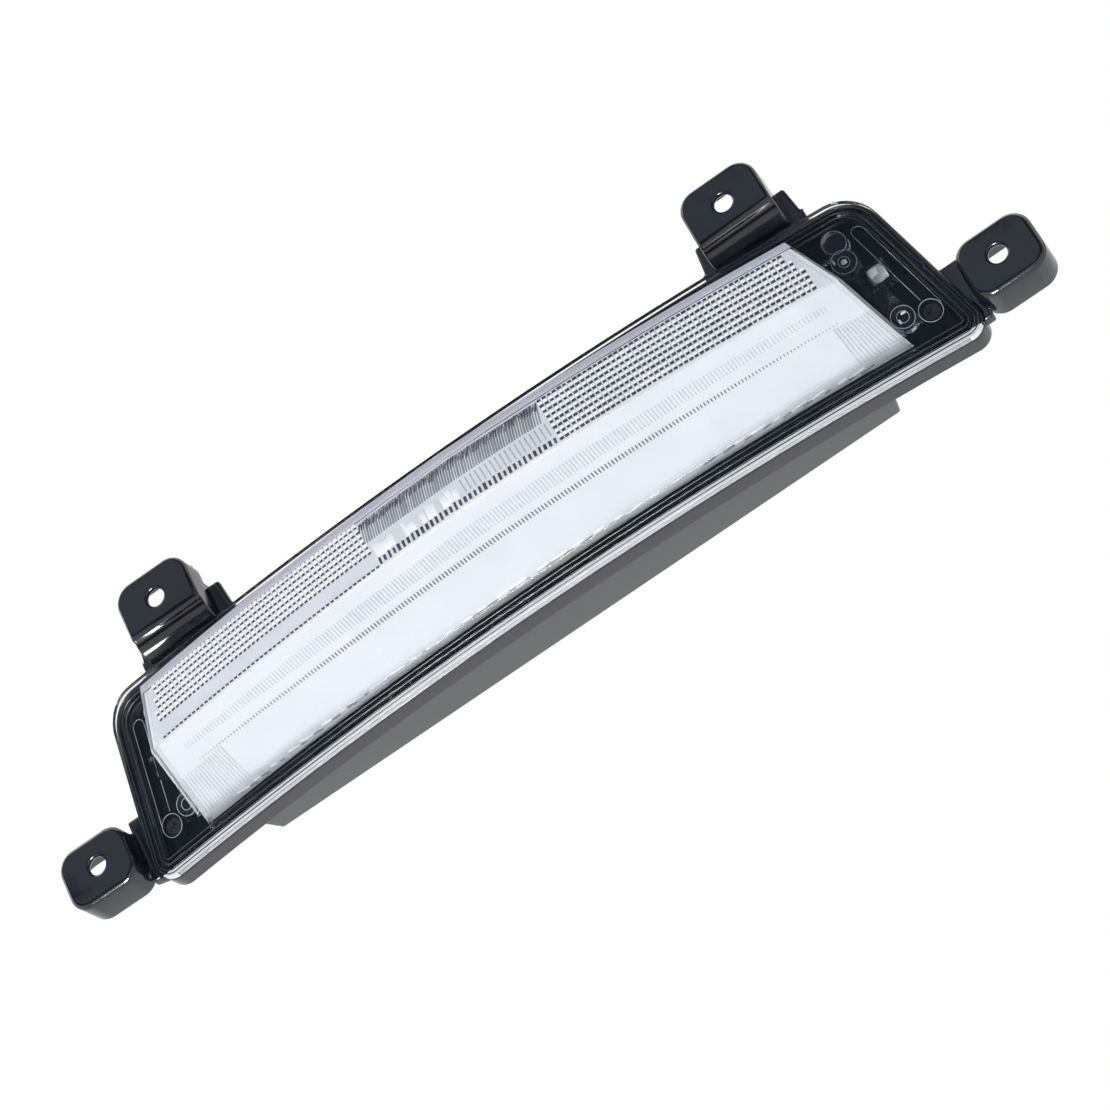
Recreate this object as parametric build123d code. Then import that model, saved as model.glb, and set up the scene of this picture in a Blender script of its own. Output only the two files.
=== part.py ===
from build123d import *
from math import hypot, sqrt
import os

os.makedirs("parts", exist_ok=True)

# Rear bumper lamp, in millimetres.
# X runs along the lamp, Y from the lens to the back, Z up.
# The origin is midway between the two end mounting holes, on the end ears' front seats.

# Mounting holes and seats
hole_r = 3.3
end_hole_x = 180.0
upper_hole_x = 116.0
upper_seat_y = -17.6
upper_hole_z = 63.5

# General moulding sizes; added shapes run into their carrier by root, and cuts run past it by past
wall = 2.5
seam_gap = 0.25
block_margin = 20.0
root = 0.5
past = 1.0
least_corner = 1.2

# Flange of the lens and rim of the housing: a trapezoid with rounded corners, bowed in plan
flange_bottom_z = -15.0
flange_top_z = 47.5
flange_half_bottom = 167.0
flange_half_top = 152.7
flange_bottom_corner = 7.0
flange_top_corner = 14.0
flange_apex_y = -7.3
flange_bow_r = 950.0
flange_lean = 0.20
lens_plate = 2.6
rim_depth = 8.5

# Wedge nose of the lens
nose_bow_r = 720.0
nose_keel = 1.6
nose_wall = 1.8
crease_y = -39.7
crease_z = 8.0
nose_top_z = 26.5
band_lean = 0.33
under_lean = 2.43
top_lean = -3.5
clear_end = 27.2
nose_side_taper = 0.455

# Bonded joint between lens and housing
bond_rib_inset = 2.6
bond_rib = 1.6
bond_rib_depth = 4.5
bond_groove_side = 0.7
bond_groove_depth = 6.0
bond_bead_gap = 0.15
bond_bead_set = 2.0
groove_wall = 1.5

# Body behind the rim
body_back_y = 31.5
body_back_half_x = 125.5
body_side_draft = 0.16
body_back_bottom_z = -10.6
body_back_top_z = 40.0
body_draft = 0.117
body_front_y = -30.0

# End ears: hollow boxes, open behind
end_ear_inner = 13.0
end_ear_outer = 14.0
end_ear_below = 12.0
end_ear_above = 11.0
end_ear_corner = 7.0
end_ear_depth = 15.5
end_ear_edge = 1.8
arm_seat_y = 10.2
arm_back_y = 15.0
arm_top_z = 13.0
arm_overlap = 3.0

# Upper ears: a boxy tab open behind, a rounded neck back to the rim, and wings behind
tab_half_width = 14.2
tab_top_z = 74.5
tab_corner = 7.0
tab_wall = 2.4
tab_depth = 11.5
tab_edge = 1.4
fold_z = 54.5
fold_step = 2.2
neck_run = 8.5
neck_bulge = 1.5
neck_root_z = 45.0
wing_front_y = -2.8
wing_thickness = 2.8
wing_top_z = 64.5
wing_half_top = 17.6
wing_half_bottom = 19.6
wing_notch_z = 54.0
wing_notch = 0.8

# Bezel and optic
bezel_gap = 4.2
bezel_thickness = 1.6
bezel_clear = 0.4
bezel_boss_rise = 0.6
window_bottom_z = -3.5
window_top_z = 33.0
window_side = 5.0
optic_gap = 0.4
optic_wall = 2.0
optic_lip = 1.2
optic_lip_width = 3.4
lip_seat = 0.2

# Moulded relief of the optic: pillows in rows on the band, flutes in the middle and at the ends
pillow_rows = 6
pillow_pitch = 9.5
pillow_end = 5.0
groove_width = 0.9
groove_depth = 0.6
middle_half_x = 35.0
flute_pitch = 3.5
end_flutes = 6
end_flute_pitch = 2.4
band_edge = 1.6

# Details that show through the clear ends: (share of the clear end's width, z, radius)
lower_boss = (0.533, 0.5, 4.1)
lower_post = (0.223, 3.2, 4.2)
middle_post = (0.363, 29.0, 4.4)
upper_ring = (0.466, 36.3, 4.2)
prism = (0.48, 20.0, 4.2)
end_plate_in = 7.8
end_plate_out = 8.2
end_plate_low_z = 0.0
end_plate_rise = 34.0
post_gap = 0.5

# Board, reflector and heat path
cup_count = 10
cup_rib = 1.5
cup_mouth_h = 34.0
cup_throat = 7.0
cup_wall = 1.2
reflector_z = 15.5
reflector_front_gap = 1.0
reflector_plate = 1.4
board_front_y = 20.0
board_thickness = 1.6
board_end_gap = 2.0
board_half_z = 19.0
board_z = 15.5
led_side = 3.5
led_height = 1.0
screw_end = 5.0
screw_r = 1.5
screw_head_r = 2.9
screw_head = 2.0
end_screw_head = 1.2
screw_clear = 0.2
boss_r = 4.0
end_boss_r = 3.4
end_boss_depth = 3.0
end_boss_floor = 1.2
foot_thickness = 1.6
foot_run = 6.0
foot_post = 2.0
reflector_end = 4.0
reflector_edge = 2.0
pad_half_x = 60.0
pad_half_z = 15.0
pad_thickness = 0.5
sink_base = 1.4
fin_depth = 3.6
fin_thickness = 1.2
fin_count = 9

# Small electrical pieces on the back of the board
chip_end = 27.0
chip_pitch = 12.0
chip_half = 3.0
chip_stand = 0.2
chip_height = 1.8
chip_leads = 4
chip_lead = 0.9
chip_lead_pitch = 1.27
chip_lead_half = 0.2
chip_lead_t = 0.5
resistor_count = 6
resistor_pitch = 3.6
resistor_w = 1.6
resistor_l = 3.2
resistor_t = 0.6
resistor_row_z = 8.0
capacitor_end = 17.0
capacitor_z = 8.0
capacitor_r = 3.2
capacitor_base = 1.0
capacitor_height = 5.5
capacitor_rim = 0.2
header_half_w = 8.0
header_half_h = 3.2
header_gap = 0.6
header_floor = 1.0
pin_clear = 0.1
pad_chip_gap = 6.1
fin_edge = 3.0
foot_gap = 0.2
board_screw_length = 8.0
bezel_screw_length = 7.0
screw_seat_gap = 0.1
screw_core_gap = 0.02
recess_half = 0.4
recess_share = 0.6

# Harness socket on the back
socket_x = -70.0
socket_z = 14.0
socket_half_w = 13.0
socket_half_h = 8.5
socket_depth = 17.0
socket_wall = 1.8
socket_flange = 4.5
socket_flange_thickness = 2.2
socket_floor = 2.0
socket_entry_half_w = 9.0
socket_entry_half_h = 5.0
pin_count = 3
pin_pitch = 5.0
pin_half = 0.4
pin_length = 11.0
seal_thickness = 1.0
socket_screw_x = 21.0
socket_ear_r = 4.2
socket_corner = 1.5
socket_flange_side = 2.0
socket_fit = 0.2
latch_half_w = 3.0
latch_run = 8.0
latch_height = 2.0
seal_inset = 1.5
socket_screw_length = 8.0
socket_boss_rise = 4.0
socket_boss_floor = 1.5
latch_back = 2.0
pin_start = 1.2

# Breather on the back
vent_x = 70.0
vent_z = 14.0
vent_spigot_r = 5.0
vent_bore_r = 3.2
vent_spigot = 4.0
vent_cap_r = 8.0
vent_cap_depth = 6.0
vent_membrane_t = 0.3
vent_air_gap = 0.8
vent_cap_wall = 1.4
vent_fit = 0.05
vent_collar = 1.0
vent_notch = 1.2
vent_membrane_edge = 0.4

# Reach of the construction blocks, clear of the whole lamp
reach_x = end_hole_x + end_ear_outer + block_margin
reach_low = flange_bottom_z - 2 * block_margin
reach_high = tab_top_z + block_margin
reach_y = body_back_y + 2 * block_margin

# Places that follow from the sizes above
nose_half_width = flange_half_bottom - clear_end
board_half_x = body_back_half_x - wall - board_end_gap
screw_x = board_half_x - screw_end
chip_x = board_half_x - chip_end
pad_x = chip_x - chip_half - chip_lead - pad_chip_gap - pad_half_x
capacitor_x = capacitor_end - board_half_x
cup_pitch = 2 * (screw_x - foot_run) / cup_count


def bow(x, radius):
    """How far a bowed front falls back at a distance x from the middle."""
    return radius - sqrt(radius * radius - x * x)


def behind(apex_y, lean, radius, z_ref=0.0, keel=0.0):
    """Everything behind a bowed front whose middle is at apex_y at height z_ref.

    The front moves forward by lean for each millimetre of height. A keel pulls its middle forward.
    """
    y_mid = apex_y + lean * (z_ref - reach_low)
    y_end = y_mid + bow(reach_x, radius)
    y_quarter = y_mid + bow(reach_x / 2, radius)
    y_back = y_mid + 2 * reach_x
    if keel:
        front = [ThreePointArc((-reach_x, y_end), (-reach_x / 2, y_quarter), (0, y_mid - keel)),
                 ThreePointArc((0, y_mid - keel), (reach_x / 2, y_quarter), (reach_x, y_end))]
    else:
        front = [ThreePointArc((-reach_x, y_end), (0, y_mid), (reach_x, y_end))]
    back = Polyline((reach_x, y_end), (reach_x, y_back), (-reach_x, y_back), (-reach_x, y_end))
    face = Pos(0, 0, reach_low) * make_face([*front, back])
    rise = reach_high - reach_low
    return extrude(face, amount=rise * hypot(1, lean), dir=Vector(0, -lean, 1).normalized())


def behind_flange(depth):
    """Everything deeper than depth behind the flange's front."""
    return behind(flange_apex_y + depth * hypot(1, flange_lean), flange_lean, flange_bow_r)


def flange_y(x, z, depth=0.0):
    """Y of the surface that lies depth behind the flange's front."""
    return flange_apex_y + depth * hypot(1, flange_lean) + bow(x, flange_bow_r) - flange_lean * z


def front_face(points, radii=None):
    """A face in the front view from corner points (x, z)."""
    face = make_face(Polyline(*[(x, z) for x, z in points], close=True))
    for corner, radius in (radii or {}).items():
        vertex = face.vertices().sort_by_distance((points[corner][0], points[corner][1], 0))[0]
        face = fillet(vertex, radius)
    return face


def along_y(face, y0, y1):
    """A front-view face carried from y0 to y1."""
    return extrude(Plane.XZ.offset(-y0) * face, amount=-(y1 - y0))


def along_x(points, x0, x1, radii=None):
    """A side-view profile of (y, z) points carried from x0 to x1."""
    return extrude(Plane.YZ.offset(x0) * front_face(points, radii), amount=x1 - x0)


def block(x0, x1, y0, y1, z0, z1):
    return Pos((x0 + x1) / 2, (y0 + y1) / 2, (z0 + z1) / 2) * Box(x1 - x0, y1 - y0, z1 - z0)


def rod(x, z, radius, y0, y1):
    """A round bar along Y."""
    return Pos(x, (y0 + y1) / 2, z) * Rot(90, 0, 0) * Cylinder(radius, y1 - y0)


def both_ends(shape):
    """The shape with its mirror image at the other end."""
    return shape + mirror(shape, Plane.YZ)


side_taper = (flange_half_bottom - flange_half_top) / (flange_top_z - flange_bottom_z)


def flange_half(z):
    return flange_half_bottom - side_taper * (z - flange_bottom_z)


def nose_half(z):
    return nose_half_width - nose_side_taper * z


def end_place(share, z):
    """X of a detail that stands at a share of the way from the nose's end to the flange's edge."""
    return nose_half(z) + share * (flange_half(z) - nose_half(z))


def through(face):
    """A front-view face carried through the whole depth of the lamp."""
    return along_y(face, -reach_y, reach_y)


def outline(inset):
    """Rounded trapezoid of the flange, moved in by inset, through the whole depth."""
    low = flange_bottom_z + inset
    high = flange_top_z - inset
    side = inset * hypot(1, side_taper)
    half_low = flange_half(low) - side
    half_high = flange_half(high) - side
    low_r = max(flange_bottom_corner - inset, least_corner)
    high_r = max(flange_top_corner - inset, least_corner)
    face = front_face([(-half_low, low), (half_low, low), (half_high, high), (-half_high, high)],
                      {0: low_r, 1: low_r, 2: high_r, 3: high_r})
    return through(face)


def behind_band(inset):
    """Everything deeper than inset under the nose's front band."""
    return behind(crease_y + inset * hypot(1, band_lean), band_lean, nose_bow_r, crease_z, nose_keel)


def behind_underside(inset):
    """Everything deeper than inset under the nose's sloping underside."""
    return behind(crease_y + inset * hypot(1, under_lean), under_lean, nose_bow_r, crease_z, nose_keel)


def nose(inset):
    """Solid wedge nose, each face moved in by inset, open ended to the back."""
    side = inset * hypot(1, nose_side_taper)
    half_low = nose_half(reach_low) - side
    half_high = nose_half(reach_high) - side
    sides = through(front_face([(-half_low, reach_low), (half_low, reach_low), (half_high, reach_high),
                                (-half_high, reach_high)]))
    top_y = crease_y - band_lean * (nose_top_z - crease_z)
    top = behind(top_y + inset * hypot(1, top_lean), top_lean, nose_bow_r, nose_top_z, nose_keel)
    return sides & behind_band(inset) & behind_underside(inset) & top


def ring_in_flange(outer_inset, inner_inset, depth0, depth1):
    """A band that follows the flange's outline, between two depths behind its front."""
    ring = outline(outer_inset) - outline(inner_inset)
    return (ring & behind_flange(depth0)) - behind_flange(depth1)


def outer_lens():
    plate = (outline(0) & behind_flange(0)) - behind_flange(lens_plate)
    shell = plate + (nose(0) - behind_flange(lens_plate))
    rib = ring_in_flange(bond_rib_inset, bond_rib_inset + bond_rib, lens_plate / 2,
                         lens_plate + bond_rib_depth)
    return shell - nose(nose_wall) + rib


rim_front = lens_plate + seam_gap
rim_back = rim_front + rim_depth
floor_front = rim_back - wall
groove_outer = bond_rib_inset - bond_groove_side
groove_inner = bond_rib_inset + bond_rib + bond_groove_side
rim_inner = groove_inner + groove_wall
bezel_front = lens_plate + bezel_gap
bezel_back = bezel_front + bezel_thickness
board_back_y = board_front_y + board_thickness
inner_back_y = body_back_y - wall


def body_block(inset, back_y):
    """Deep middle body: drafted below and at its ends."""
    bottom_front = body_back_bottom_z - body_draft * (body_back_y - body_front_y)
    side = along_x([(body_front_y, bottom_front + inset), (back_y, body_back_bottom_z + inset),
                    (back_y, body_back_top_z - inset), (body_front_y, flange_top_z - inset)],
                   -reach_x, reach_x)
    half_back = body_back_half_x - inset
    half_front = half_back + body_side_draft * (body_back_y - body_front_y)
    plan = make_face(Polyline((-half_front, body_front_y), (half_front, body_front_y),
                              (half_back, back_y), (-half_back, back_y), close=True))
    return side & extrude(Pos(0, 0, reach_low) * plan, amount=reach_high - reach_low)


def end_ear():
    """Boxy ear at the +X end with its arm to the rim."""
    x0 = end_hole_x - end_ear_inner
    x1 = end_hole_x + end_ear_outer
    corners = [(x0, -end_ear_below), (x1, -end_ear_below), (x1, end_ear_above), (x0, end_ear_above)]
    radii = {i: end_ear_corner for i in range(4)}
    shell = along_y(front_face(corners, radii), 0, end_ear_depth)
    shell = chamfer(shell.edges().group_by(Axis.Y)[0], end_ear_edge)
    inner = [(x0 + wall, wall - end_ear_below), (x1 - wall, wall - end_ear_below),
             (x1 - wall, end_ear_above - wall), (x0 + wall, end_ear_above - wall)]
    inner_radii = {i: end_ear_corner - wall for i in range(4)}
    ear_space = along_y(front_face(inner, inner_radii), wall, end_ear_depth + past)
    shell = shell - ear_space - rod(end_hole_x, 0, hole_r, -past, wall + past)
    arm_root = flange_half(0) - arm_overlap
    arm = block(arm_root, x0 + wall / 2, arm_seat_y, arm_back_y, -end_ear_below, arm_top_z)
    arm -= block(arm_root - past, x0 + wall, arm_seat_y + wall, arm_back_y + past, wall - end_ear_below,
                 arm_top_z - wall)
    return shell + (arm - ear_space)


def upper_ear():
    """Tab ear above the rim at +X: a boxy tab open behind, a rounded neck, and notched wings."""
    x = upper_hole_x
    s = upper_seat_y
    back = s + tab_depth
    rim_z = flange_top_z + seam_gap
    neck_y = s + neck_run
    ledge_z = fold_z - fold_step / 2
    mid_y = (s + fold_step + neck_y) / 2 - neck_bulge
    mid_z = (ledge_z + rim_z) / 2 - neck_bulge / 2
    outside = make_face([Line((s, tab_top_z), (s, fold_z)), Line((s, fold_z), (s + fold_step, ledge_z)),
                         ThreePointArc((s + fold_step, ledge_z), (mid_y, mid_z), (neck_y, rim_z)),
                         Polyline((neck_y, rim_z), (neck_y, neck_root_z), (wing_front_y, neck_root_z),
                                  (wing_front_y, wing_top_z), (back, wing_top_z), (back, tab_top_z),
                                  (s, tab_top_z))])
    box = extrude(Plane.YZ.offset(x - tab_half_width) * outside, amount=2 * tab_half_width)
    box = box & along_y(front_face([(x - tab_half_width, neck_root_z), (x + tab_half_width, neck_root_z),
                                    (x + tab_half_width, tab_top_z), (x - tab_half_width, tab_top_z)],
                                   {2: tab_corner, 3: tab_corner}), s, wing_front_y)
    box = chamfer(box.edges().group_by(Axis.Y)[0], tab_edge)
    pocket = along_x([(s + tab_wall, tab_top_z - tab_wall), (s + tab_wall, fold_z + tab_wall / 2),
                      (neck_y + tab_wall, rim_z + tab_wall), (wing_front_y, rim_z + tab_wall),
                      (wing_front_y, tab_top_z - tab_wall)],
                     x - tab_half_width + tab_wall, x + tab_half_width - tab_wall)
    step_low = wing_half_bottom - wing_notch
    wing = along_y(front_face([(x - wing_half_bottom, neck_root_z), (x + wing_half_bottom, neck_root_z),
                               (x + wing_half_bottom, wing_notch_z), (x + step_low, wing_notch_z),
                               (x + wing_half_top, wing_top_z), (x - wing_half_top, wing_top_z),
                               (x - step_low, wing_notch_z), (x - wing_half_bottom, wing_notch_z)]),
                   wing_front_y, wing_front_y + wing_thickness)
    ear = (box - pocket) + wing
    return ear - rod(x, upper_hole_z, hole_r, s - past, s + tab_wall + past)


def board_screw_places():
    return [(-screw_x, board_z), (screw_x, board_z)]


def housing():
    rim = (outline(0) & behind_flange(rim_front)) - behind_flange(rim_back)
    rim_hollow = outline(rim_inner) - behind_flange(floor_front)
    body = body_block(0, body_back_y) & behind_flange(rim_front) & outline(seam_gap)
    hollow = body_block(wall, inner_back_y) & outline(rim_inner)
    tray = (rim + body) - rim_hollow - hollow
    groove = ring_in_flange(groove_outer, groove_inner, 0, rim_front + bond_groove_depth)
    lens_space = outline(-seam_gap) - behind_flange(rim_front)
    ears = both_ends(end_ear()) + both_ends(upper_ear())
    ears = ears - lens_space - (outline(rim_inner) - behind_flange(rim_back))
    tray = tray + ears - groove
    for x, z in board_screw_places():
        tray += rod(x, z, boss_r, board_back_y, inner_back_y + root)
        tray -= rod(x, z, screw_r, board_back_y - past, inner_back_y)
    for side in (-1, 1):
        z = lower_boss[1]
        x = side * end_place(lower_boss[0], z)
        boss_back_y = flange_y(x, z, rim_back) + end_boss_depth
        tray += rod(x, z, end_boss_r, flange_y(x, z, rim_back - wall / 2), boss_back_y)
        tray -= rod(x, z, screw_r, flange_y(x, z, bezel_back) - past, boss_back_y - end_boss_floor)
    tray -= block(socket_x - socket_entry_half_w, socket_x + socket_entry_half_w, inner_back_y - past,
                  body_back_y + past, socket_z - socket_entry_half_h, socket_z + socket_entry_half_h)
    boss_front_y = inner_back_y - socket_boss_rise
    for dx in (-socket_screw_x, socket_screw_x):
        tray += rod(socket_x + dx, socket_z, boss_r, boss_front_y, inner_back_y + root)
        tray -= rod(socket_x + dx, socket_z, screw_r, boss_front_y + socket_boss_floor,
                    body_back_y + past)
    tray += rod(vent_x, vent_z, vent_spigot_r, body_back_y - root, body_back_y + vent_spigot)
    tray -= rod(vent_x, vent_z, vent_bore_r, inner_back_y - past, body_back_y + vent_spigot + past)
    return tray


def lens_bond_bead():
    """Sealant around the foot of the lens's rib, in the groove."""
    side = bond_groove_side - bond_bead_gap
    bead = ring_in_flange(bond_rib_inset - side, bond_rib_inset + bond_rib + side,
                          rim_front + bond_bead_set, rim_front + bond_groove_depth - bond_bead_gap)
    rib_space = ring_in_flange(bond_rib_inset - bond_bead_gap, bond_rib_inset + bond_rib + bond_bead_gap,
                               0, lens_plate + bond_rib_depth + bond_bead_gap)
    return bead - rib_space


def window(grow):
    """Opening behind the nose, through the whole depth."""
    low = window_bottom_z - grow
    high = window_top_z + grow
    half_low = nose_half(low) - window_side + grow
    half_high = nose_half(high) - window_side + grow
    return through(front_face([(-half_low, low), (half_low, low), (half_high, high), (-half_high, high)]))


def bezel():
    zone = outline(rim_inner + bezel_clear)
    plate = (zone & behind_flange(bezel_front)) - window(0) - behind_flange(bezel_back)
    share, z, r = lower_boss
    for side in (-1, 1):
        x = side * end_place(share, z)
        front_y = flange_y(x, z)
        back_y = flange_y(x, z, bezel_back + bezel_thickness)
        boss = rod(x, z, r, front_y, back_y) & behind_flange(bezel_front - bezel_boss_rise)
        plate += boss - behind_flange(bezel_back)
        plate -= rod(x, z, screw_r + screw_clear, front_y - past, back_y + past)
    return plate


def relief_cuts(inset):
    """Grooves that leave pillows and flutes standing on the optic, each open to the front."""
    low = crease_z + band_edge
    high = nose_top_z - band_edge
    row_pitch = (high - low) / pillow_rows
    half = groove_width / 2
    band_bars = []
    for i in range(pillow_rows + 1):
        z = low + i * row_pitch
        end_x = nose_half(z) - pillow_end
        band_bars += [block(min(a, b), max(a, b), -reach_y, 0, z - half, z + half)
                      for a, b in ((middle_half_x, end_x), (-end_x, -middle_half_x))]
    columns = int((nose_half(high) - pillow_end - middle_half_x) / pillow_pitch)
    places = [middle_half_x + (i + 0.5) * pillow_pitch for i in range(columns)]
    middle = int(middle_half_x / flute_pitch)
    places += [(i + 0.5) * flute_pitch for i in range(middle)]
    for x in places:
        band_bars += [block(side * x - half, side * x + half, -reach_y, 0, low, high) for side in (-1, 1)]
    deep_band = behind_band(inset + groove_depth)
    under_bars = []
    for i in range(end_flutes):
        x = nose_half(crease_z) - pillow_end - i * end_flute_pitch
        under_bars += [block(side * x - half, side * x + half, -reach_y, 0, window_bottom_z,
                             crease_z - band_edge) for side in (-1, 1)]
    deep_under = behind_underside(inset + groove_depth)
    return [bar - deep_band for bar in band_bars] + [bar - deep_under for bar in under_bars]


def inner_lens():
    inset = nose_wall + optic_gap
    foot = bezel_front - lip_seat
    shell = nose(inset) - nose(inset + optic_wall) - behind_flange(foot)
    for cut in relief_cuts(inset):
        shell -= cut
    lip = (window(optic_lip_width) - window(0)) & behind_flange(foot - optic_lip)
    top_z = end_plate_low_z + end_plate_rise
    ends = through(front_face([(nose_half(end_plate_low_z) - end_plate_in, end_plate_low_z),
                               (nose_half(end_plate_low_z) + end_plate_out, end_plate_low_z),
                               (nose_half(end_plate_low_z) + end_plate_out - side_taper * end_plate_rise,
                                top_z),
                               (nose_half(top_z) - end_plate_in, top_z)]))
    ends = ends & behind_flange(foot - optic_lip)
    post_front = behind_flange(lens_plate + post_gap)
    for share, z, r in (lower_post, middle_post, upper_ring):
        ends += rod(end_place(share, z), z, r, -reach_y, reach_y) & post_front
    share, z, half = prism
    x = end_place(share, z)
    ends += block(x - half, x + half, -reach_y, reach_y, z - half, z + half) & post_front
    ends = (ends - behind_flange(foot)) - nose(inset)
    return shell + (lip - behind_flange(foot)) + both_ends(ends)


def tapered_cup(x, mouth_y, throat_y, mouth_w, mouth_h, throat):
    """Four-sided funnel body that narrows from its mouth to a square throat."""
    plan = make_face(Polyline((x - mouth_w / 2, mouth_y), (x + mouth_w / 2, mouth_y),
                              (x + throat / 2, throat_y), (x - throat / 2, throat_y), close=True))
    z = reflector_z
    side = along_x([(mouth_y, z - mouth_h / 2), (mouth_y, z + mouth_h / 2), (throat_y, z + throat / 2),
                    (throat_y, z - throat / 2)], x - mouth_w, x + mouth_w)
    return side & extrude(Pos(0, 0, reach_low) * plan, amount=reach_high - reach_low)


def reflector():
    """Row of funnel cups behind one folded front plate, on four screw feet."""
    front = bezel_back + reflector_front_gap
    low_z = reflector_z - cup_mouth_h / 2 - reflector_edge
    high_z = reflector_z + cup_mouth_h / 2 + reflector_edge
    half_x = board_half_x - reflector_end
    folds = [-half_x, *[(i - cup_count / 2) * cup_pitch for i in range(1, cup_count)], half_x]
    front_line = [(x, flange_y(x, low_z, front)) for x in folds]
    back_line = [(x, y + reflector_plate) for x, y in reversed(front_line)]
    plate = make_face(Polyline(*front_line, *back_line, close=True))
    tray = extrude(Pos(0, 0, low_z) * plate, amount=high_z - low_z)
    throat_y = board_front_y - foot_gap
    mouth_w = cup_pitch - cup_rib
    spaces = []
    for x in cup_places():
        mouth_y = flange_y(abs(x) + cup_pitch / 2, low_z, front) + reflector_plate / 2
        tray += tapered_cup(x, mouth_y, throat_y, mouth_w, cup_mouth_h, cup_throat + 2 * cup_wall)
        inner_w = mouth_w - 2 * cup_wall
        inner_h = cup_mouth_h - 2 * cup_wall
        spaces.append(tapered_cup(x, mouth_y, board_front_y, inner_w, inner_h, cup_throat)
                      + block(x - inner_w / 2, x + inner_w / 2, -reach_y, mouth_y,
                              reflector_z - inner_h / 2, reflector_z + inner_h / 2))
    for space in spaces:
        tray -= space
    for x, z in board_screw_places():
        side = 1 if x > 0 else -1
        inner_x = x - side * foot_run
        outer_x = x + side * screw_head_r
        post_x = inner_x + side * foot_post
        low, high = z - screw_head_r, z + screw_head_r
        foot_front = throat_y - foot_thickness
        plate_y = flange_y(inner_x, low_z, front) + reflector_plate / 2
        tray -= block(min(post_x, outer_x), max(post_x, outer_x), -reach_y, foot_front, low, high)
        tray += block(min(inner_x, outer_x), max(inner_x, outer_x), foot_front, throat_y, low, high)
        tray += block(min(inner_x, post_x), max(inner_x, post_x), plate_y, throat_y, low, high)
        tray -= rod(x, z, screw_r + screw_clear, foot_front - past, throat_y + past)
    return tray


def led_board():
    board = block(-board_half_x, board_half_x, board_front_y, board_back_y, board_z - board_half_z,
                  board_z + board_half_z)
    for x, z in board_screw_places():
        board -= rod(x, z, screw_r + screw_clear, board_front_y - past, board_back_y + past)
    return board


def cup_places():
    return [(i - (cup_count - 1) / 2) * cup_pitch for i in range(cup_count)]


def led_packages():
    half = led_side / 2
    return [block(x - half, x + half, board_front_y - led_height, board_front_y, reflector_z - half,
                  reflector_z + half) for x in cup_places()]


def driver_chips():
    """Two flat chips with side leads on the back of the board."""
    chips = []
    for x in (chip_x, chip_x + chip_pitch):
        body = block(x - chip_half, x + chip_half, board_back_y + chip_stand, board_back_y + chip_height,
                     board_z - chip_half, board_z + chip_half)
        for i in range(chip_leads):
            z = board_z + (i - (chip_leads - 1) / 2) * chip_lead_pitch
            lead = block(x - chip_half - chip_lead, x + chip_half + chip_lead, board_back_y,
                         board_back_y + chip_lead_t, z - chip_lead_half, z + chip_lead_half)
            body += lead
        chips.append(body)
    return chips


def board_resistors():
    """A row of chip resistors above and below the driver chips."""
    rows = []
    for z in (board_z - resistor_row_z, board_z + resistor_row_z):
        for i in range(resistor_count):
            x = chip_x - chip_half + i * resistor_pitch
            rows.append(block(x - resistor_w / 2, x + resistor_w / 2, board_back_y,
                              board_back_y + resistor_t, z - resistor_l / 2, z + resistor_l / 2))
    return rows


def board_capacitors():
    """Two small can capacitors with square bases, beside the header."""
    cans = []
    for dz in (-capacitor_z, capacitor_z):
        z = board_z + dz
        base = block(capacitor_x - capacitor_r, capacitor_x + capacitor_r, board_back_y,
                     board_back_y + capacitor_base, z - capacitor_r, z + capacitor_r)
        cans.append(base + rod(capacitor_x, z, capacitor_r - capacitor_rim, board_back_y,
                               board_back_y + capacitor_height))
    return cans


def pin_places():
    return [socket_x + (i - (pin_count - 1) / 2) * pin_pitch for i in range(pin_count)]


header_back_y = inner_back_y - header_gap


def board_header():
    """Receptacle on the board that the socket's terminals push into."""
    body = block(socket_x - header_half_w, socket_x + header_half_w, board_back_y, header_back_y,
                 socket_z - header_half_h, socket_z + header_half_h)
    slot = pin_half + pin_clear
    for x in pin_places():
        body -= block(x - slot, x + slot, board_back_y + header_floor, header_back_y + past,
                      socket_z - slot, socket_z + slot)
    return body


def thermal_pad():
    return block(pad_x - pad_half_x, pad_x + pad_half_x, board_back_y,
                 board_back_y + pad_thickness, board_z - pad_half_z, board_z + pad_half_z)


def heat_sink():
    """Aluminium plate with upright fins, against the pad."""
    base_y = board_back_y + pad_thickness
    sink = block(pad_x - pad_half_x, pad_x + pad_half_x, base_y, base_y + sink_base,
                 board_z - pad_half_z, board_z + pad_half_z)
    for i in range(fin_count):
        x = pad_x - pad_half_x + fin_edge + i * (2 * pad_half_x - 2 * fin_edge) / (fin_count - 1)
        sink += block(x - fin_thickness / 2, x + fin_thickness / 2, base_y + sink_base / 2,
                      base_y + sink_base + fin_depth, board_z - pad_half_z, board_z + pad_half_z)
    return sink


def screw(x, z, seat_y, tip_y, length, head=screw_head):
    """Pan-head screw along Y with a cross recess; its head seats at seat_y, its tip points to the back."""
    sign = 1 if tip_y > seat_y else -1
    top = seat_y - sign * head
    end = seat_y + sign * length
    body = rod(x, z, screw_head_r, min(seat_y, top), max(seat_y, top))
    body += rod(x, z, screw_r - screw_core_gap, min(seat_y, end), max(seat_y, end))
    deep = top + sign * head * recess_share
    arm = screw_head_r * recess_share
    for w, h in ((arm, recess_half), (recess_half, arm)):
        body -= block(x - w, x + w, min(top - sign, deep), max(top - sign, deep), z - h, z + h)
    return body


def board_screws():
    seat = board_front_y - foot_gap - foot_thickness
    return [screw(x, z, seat, body_back_y, board_screw_length) for x, z in board_screw_places()]


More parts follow.
